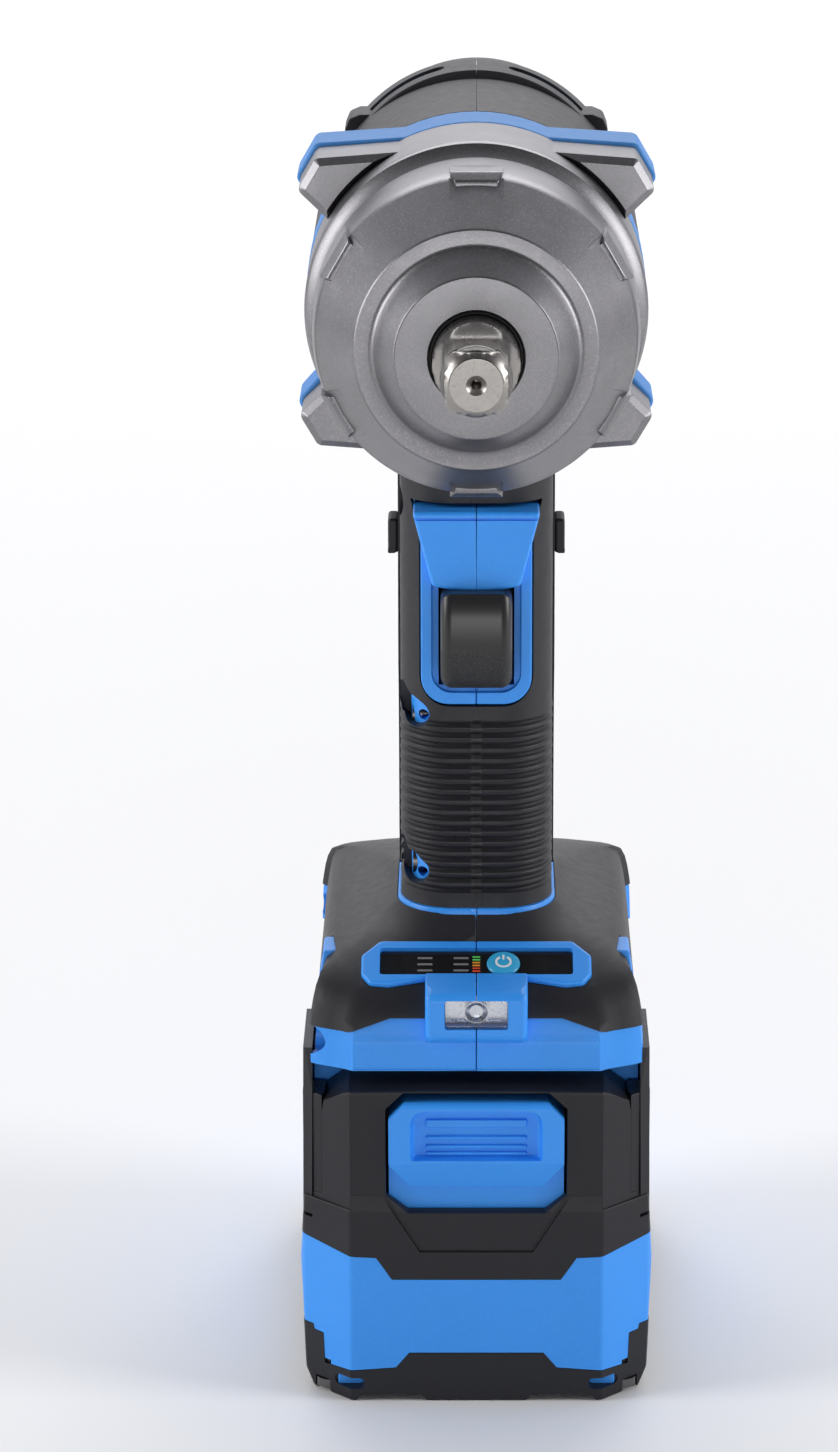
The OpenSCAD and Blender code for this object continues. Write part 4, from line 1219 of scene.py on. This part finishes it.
def makeBars():
    # raised indicator bars: six grey ones and a column of coloured lamps
    made = []
    for x in (-11.4, -3.4):
        for i in range(3):
            w, y = display["barHalf"], -2.35 + 2.0 * i
            bar = block("greyBar", (x - w, y, 0.2), (x + w, y + 0.6, 0.42))
            bevel(bar, 0.1, 1)
            made.append((onPanel(bar), "barGrey"))
    for i, tint in enumerate(("lampRed", "lampRed", "lampAmber", "lampAmber", "lampGreen", "lampGreen")):
        w, y = display["ledHalf"], -2.5 + 0.92 * i
        lamp = block("lampBar", (-w, y, 0.2), (w, y + 0.45, 0.42))
        bevel(lamp, 0.08, 1)
        made.append((onPanel(lamp), tint))
    return made


def makeButton():
    # round key with a raised power sign: a broken ring and a short bar
    x = display["button"]
    key = lathe("powerKey", [(0, -1.15), (3.66, -1.15), (3.68, 0.5), (3.45, 0.85), (2.9, 0.98), (1.5,
            1.02), (0, 1.03)], 64,
                middle=(x, 0, 0), axis="Z")
    ring = trace("powerSign", [(x + 1.35, 0, 0.95), (x + 1.85, 0, 0.95), (x + 1.85, 0, 1.14), (x + 1.35, 0,
                                                                                               1.14)])
    turnMesh(ring, -60, "Z", 0, x)
    editAll(ring)
    bpy.ops.mesh.spin(steps=40, angle=math.radians(300), center=(x * mm, 0, 0), axis=(0, 0, 1))
    objectMode()
    outward(ring)
    bar = block("powerStroke", (x - 0.24, 0.7, 0.95), (x + 0.24, 2.2, 1.14))
    bevel(bar, 0.06, 1)
    return onPanel(key), onPanel(ring), onPanel(bar)


def makeLens():
    # clear window with a domed lens moulded behind it
    lens = prism("lampLens", rounded([(-6.85, 88.55), (6.85, 88.55), (6.85, 94.95), (-6.85, 94.95)], 0.5,
                                     3), -54.35, -53.2)
    bevel(lens, 0.25, 2)
    dome = lathe("dome", [(0, -53.3), (2.55, -53.3), (2.55, -51.6), (2.1, -50.9), (1.2, -50.65), (0,
            -50.6)], 48,
                 middle=(0, 0, 91.75))
    return combine(lens, [dome], "UNION")


def makeReflector():
    # pale tray round the lamp, with a bright ring
    tray = block("lampTray", (-6.8, -50.55, 88.55), (6.8, -50.1, 94.95))
    bevel(tray, 0.15, 1)
    ring = lathe("lampRing", [(1.5, -51.0), (2.4, -51.6), (2.65, -51.5), (2.65, -50.4), (1.5, -50.4)], 48,
                 middle=(0, 0, 91.75), closed=True)
    return combine(tray, [ring], "UNION")


finishPiece(makePanel(), "tool", "panel", ["display_panel"])
for index, (bar, tint) in enumerate(makeBars()):
    bar.name = tint + str(index)
    finishPiece(bar, "tool", tint)
key, ring, stroke = makeButton()
finishPiece(key, "power_button", "keyBlue", ["power_button"])
finishPiece(ring, "power_button", "signWhite")
finishPiece(stroke, "power_button", "signWhite")
finishPiece(makeLens(), "tool", "clear", ["led_lens"])
finishPiece(makeReflector(), "tool", "silverTray")
print("display and lamp made")


# ---- battery ----
pack = {"half": 39.5, "front": -54.9, "rear": 61.9, "deckZ": 46, "blockTop": 74.0, "latchHalf": 19.4,
        "postX": 33, "postYs": (-47.2, 55.2)}


def packBody(name, inset=0.0):
    sides = closeOutline([(36.5, 0), (38.4, 4), (pack["half"], 30), (38.5, pack["deckZ"])])
    plan = closeOutline([(28, pack["front"]), (38.6, -45), (pack["half"], -43), (pack["half"], 54), (34,
            pack["rear"])])
    if inset:
        sides = closeOutline([(36.3 - inset, 0.2), (38.3 - inset, 4), (pack["half"] - inset, 30),
                              (38.5 - inset, pack["deckZ"])])
        plan = closeOutline([(28, pack["front"] + inset), (38.6 - inset, -45 + inset),
                             (pack["half"] - inset, -43),
                             (pack["half"] - inset, 54), (34, pack["rear"] - inset)])
    body = prism(name, sides, -70, 80)
    combine(body, [prism("packPlan", plan, -1, 60, "Z")], "INTERSECT")
    bevel(body, 0.6, 2, 20)
    return body


def splitTool(name, drop=0.0):
    # everything below the stepped line between the two cases
    line = [(50, 36.6 - drop), (39.7, 36.6 - drop), (28.2, 34.9 - drop), (22.3, 34.6 - drop), (18.8,
                                                                                               29.4 - drop)]
    return prism(name, closeOutline([(50, -10)] + line), -80, 80)


def guardTool(name, drop=0.0):
    # everything below the stepped top edge of the corner guards
    line = [(50, 15.4 - drop), (36.6, 15.2 - drop), (36.4, 14.0 - drop), (34.3, 13.9 - drop), (34.0,
                                                                                               6.8 - drop),
            (29, 7.2 - drop), (18.0, 8.0 - drop), (15.0, 11.6 - drop)]
    return prism(name, closeOutline([(50, -10)] + line), -80, 80)


def screwWells(radius, depth):
    return [rod("well", radius, (x, y, -1), depth, "Z", 32) for x in (-pack["postX"], pack["postX"])
            for y in pack["postYs"]]


def cellRoom():
    plan = closeOutline([(28.2, -51.5), (36.4, -43.7), (36.4, 55.2), (32.9, 59.5)])
    return prism("cellRoom", plan, 5, 44, "Z")


def makeUpperCase():
    body = packBody("batteryUpper")
    combine(body, [splitTool("belowSplit")])
    # front block: flat face, chamfered corners and a sloping step down to the body
    top = pack["blockTop"]
    face = rounded(closeOutline([(38.4, 40), (38.4, 46.4), (34.3, 47.4), (34.3, 66.5), (33.8, 69.6), (28.2,
            top - 0.3),
                                 (12, top)]), 0.4, 2)
    front = prism("frontBlock", face, -54.3, -37.2)
    plan = closeOutline([(28, -54.3), (34.3, -48.2), (38.4, -44.0), (38.4, -37.2)])
    combine(front, [prism("blockPlan", plan, 30, 90, "Z")], "INTERSECT")
    bevelPicked(front, lambda a, b: a.y < -54 and b.y < -54 and min(a.z, b.z) > 60, 0.9, 2)
    bevel(front, 0.35, 2, 25)
    slope = prism("frontSlope", [(-54.9, 44.5), (-54.35, 49.2), (-45, 49.2), (-45, 44.5)], -27.9, 27.9, "X")
    rails = [block("railNeck", (-23.6, -38, 45.5), (23.6, 45, 52.4)), block("railHead", (-27.6, -38, 52.3),
                                                                            (27.6, 45, 62.5))]
    for rail in rails:
        bevel(rail, 0.4, 2)
    # side wings that embrace the foot, with a slanting front edge
    wings = []
    for side in (-1, 1):
        plan = [(side * x, y) for x, y in ((36.75, -46.2), (38.75, -43.9), (38.75, 40), (36.75, 40))]
        wing = prism("wing", plan, 40, 80.5, "Z")
        profile = [(-47, 39), (-47, 66), (-44.4, 81), (-20, 81), (4, 62), (41, 56), (41, 39)]
        combine(wing, [prism("wingSide", profile, side * 30, side * 45, "X")], "INTERSECT")
        movePicked(wing, lambda c: c.z > 60, (-side * 0.35, 0, 0))
        cheek = prism("cheek", [(side * x, y) for x, y in ((33.5, -44), (34.2, -48.0), (38.6, -43.9),
                                                           (38.6, -38), (33.5, -38))],
                      40, 70.5, "Z")
        bevel(cheek, 0.4, 2)
        wings += [wing, cheek]
    combine(body, [front, slope] + rails + wings, "UNION")
    # octagonal latch opening, its room behind, and the slots for hook and contacts
    opening = closeOutline([(15.2, 45.6), (20.0, 49.4), (20.0, 69.6), (16.2, 73.2)])
    tools = [cellRoom(), block("boardRoom", (-20.5, -30, 40), (20.5, 26, 60.4)), prism("opening", opening,
                                                                                       -60, -50)]
    tools.append(block("skirtRoom", (-20.4, -52.5, 33), (20.4, -49.1, 72)))
    tools.append(block("latchRoom", (-20.4, -49.2, pack["deckZ"]), (20.4, -39.6, 72)))
    tools.append(block("hookRoom", (-8.6, -42, 54.6), (8.6, -33, 67)))
    for x in (-12, -4, 4, 12):
        tools.append(block("bladeSlot", (x - 1.2, 27.4, 50.6), (x + 1.2, 50, 70)))
    combine(body, tools)
    # bevelled lip round the opening, and the grooved panel under it
    lip = prism("lip", closeOutline([(15.6, 44.9), (20.8, 49.0), (20.8, 70.0), (16.5, 74.1)]), -56, -53.7)
    sizePicked(lip, "FACE", lambda c, n: n.y > 0.9, (0.955, 1, 0.955), (0, 0, 59.5))
    combine(body, [lip])
    panel = prism("panelGroove", closeOutline([(12.6, 35.9), (20.4, 48.4), (24, 48.4 + 6)]), -60, -54.35)
    keep = prism("panelKeep", closeOutline([(12.0, 36.7), (19.5, 48.9), (23, 48.4 + 7)]), -61, -50)
    combine(panel, [keep])
    combine(body, [panel])
    # scored lines on the corner chamfers
    combine(body, [block("cornerNotch", (side * 36.6, -60, 41.0), (side * 39.8, -42,
                                                                   41.8)) for side in (-1, 1)])
    return body


def makeLowerCase():
    body = packBody("batteryLower", 0.08)
    combine(body, [splitTool("keepBelow", 0.12)], "INTERSECT")
    combine(body, [guardTool("guardRoom", -0.12), cellRoom()] + screwWells(3.3, 9))
    return body


def makeGuard():
    body = packBody("batteryGuard")
    combine(body, [guardTool("keepGuard")], "INTERSECT")
    bevel(body, 0.3, 1, 40)
    tools = [cellRoom()]
    # underside: lifted between the feet
    for x0, x1 in ((10.5, 27.5), (-27.5, -10.5)):
        gap = prism("underGap", [(x0, -1), (x0 + 1.6, 1.6), (x1 - 1.6, 1.6), (x1, -1)], -80, 80)
        tools.append(gap)
    # oval windows at the corners
    for side in (-1, 1):
        oval = prism("oval", rounded([(side * 28.4 - 3.4, 2.9), (side * 28.4 + 3.4, 2.9),
                                      (side * 28.4 + 3.4, 5.5),
                                      (side * 28.4 - 3.4, 5.5)], 1.25, 5), -56, -51)
        tools.append(oval)
    tools += screwWells(3.2, 4.2)
    for i in range(9):
        rib = block("baseGroove", (-24, -36 + 9 * i, -1), (24, -33.5 + 9 * i, 0.7))
        bevel(rib, 0.2, 1)
        tools.append(rib)
    return combine(body, tools)


def makeWindowBacks():
    # blue case seen through the oval windows
    made = []
    for side in (-1, 1):
        back = block("windowBack", (side * 24.6, -51.6, 2.2), (side * 31, -50.9, 6.4))
        bevel(back, 0.3, 1)
        made.append(back)
    return made


def makeLatch():
    half = pack["latchHalf"]
    side = [(-43.1, 71.2), (-54.4, 71.2), (-55.1, 70.8), (-55.5, 70.0), (-55.5, 57.3), (-55.3, 56.7),
            (-53.4, 51.1),
            (-43.1, 51.1)]
    body = prism("latch", side, -half, half, "X")
    front = rounded(closeOutline([(14.4, 50.6), (half, 56.8), (half, 67.6), (15.9, 71.25)]), 0.8, 3)
    combine(body, [prism("latchFront", front, -60, -40)], "INTERSECT")
    bevel(body, 0.45, 2, 25)
    # finger dish with rounded corners and a sloping floor
    dish = block("dish", (-15.9, -60, 57.4), (15.9, -53.0, 70.2))
    bevelPicked(dish, lambda a, b: abs(a.x - b.x) < 0.01 and abs(a.z - b.z) < 0.01 and a.z > 60, 3.4, 5)
    sizePicked(dish, "VERT", lambda c: c.y > -54, (0.88, 1, 0.86), (0, 0, 62.5))
    bevel(dish, 0.7, 3, 25)
    combine(body, [dish])
    skirt = prism("skirt", closeOutline([(15.0, 41.1), (half, 41.1), (half, 58)]), -52.2, -49.6)
    hook = block("hook", (-8, -44, 60), (8, -34.7, 66))
    bevel(hook, 0.5, 2)
    ridges = []
    for z, tall in ((66.0, 1.9), (62.6, 0.8), (60.5, 0.8), (58.9, 0.8)):
        ridge = block("ridge", (-11.2, -53.75, z - tall / 2), (11.2, -52.5, z + tall / 2))
        bevel(ridge, 0.34, 3)
        ridges.append(ridge)
    combine(body, [skirt, hook] + ridges, "UNION")
    springs = [rod("springSeat", 2.6, (x, -46, 45), 17, "Z", 32) for x in (-13, 13)]
    combine(body, springs)
    return body


finishPiece(makeUpperCase(), "battery", "blackPlastic", ["battery_upper_case"])
finishPiece(makeLowerCase(), "battery", "bluePlastic", ["battery_lower_case"])
finishPiece(makeGuard(), "battery", "blackPlastic", ["battery_guard"])
for windowBack in makeWindowBacks():
    finishPiece(windowBack, "battery", "bluePlastic")
finishPiece(makeLatch(), "latch", "bluePlastic", ["battery_latch"])
print("battery made")


# ---- materials for the carried-over nodes ----
nodeFinish = {
    "steel": ["thrust_washer", "cam_carrier", "planet_pins", "cam_balls", "hammer_spring", "rotor_shaft",
              "trigger_spring",
              "latch_springs", "carrier_bearing", "front_bearing", "rear_bearing", "retaining_ring"],
    "darkSteel": ["ring_gear", "hammer", "planet_gear_1", "planet_gear_2", "planet_gear_3", "sun_pinion",
                  "case_screws",
                  "housing_screws", "battery_screws"],
    "bronze": ["nose_bushing"], "alloy": ["gearbox_plate"], "lamination": ["stator_core", "rotor_core"],
    "copper": ["stator_windings"], "magnet": ["rotor_magnets"],
    "circuit": ["hall_board", "control_board", "led_board", "battery_board"],
    "blackPlastic": ["cooling_fan", "trigger_switch", "terminal_block"], "contact": ["battery_contacts"],
    "redLead": ["motor_leads"], "cellGreen": ["battery_cells"], "holderGrey": ["cell_holder"],
}
for finish, names in nodeFinish.items():
    for name in names:
        for materialSlot in nodes[name].material_slots:
            materialSlot.material = finishes[finish]
print("inner parts finished")
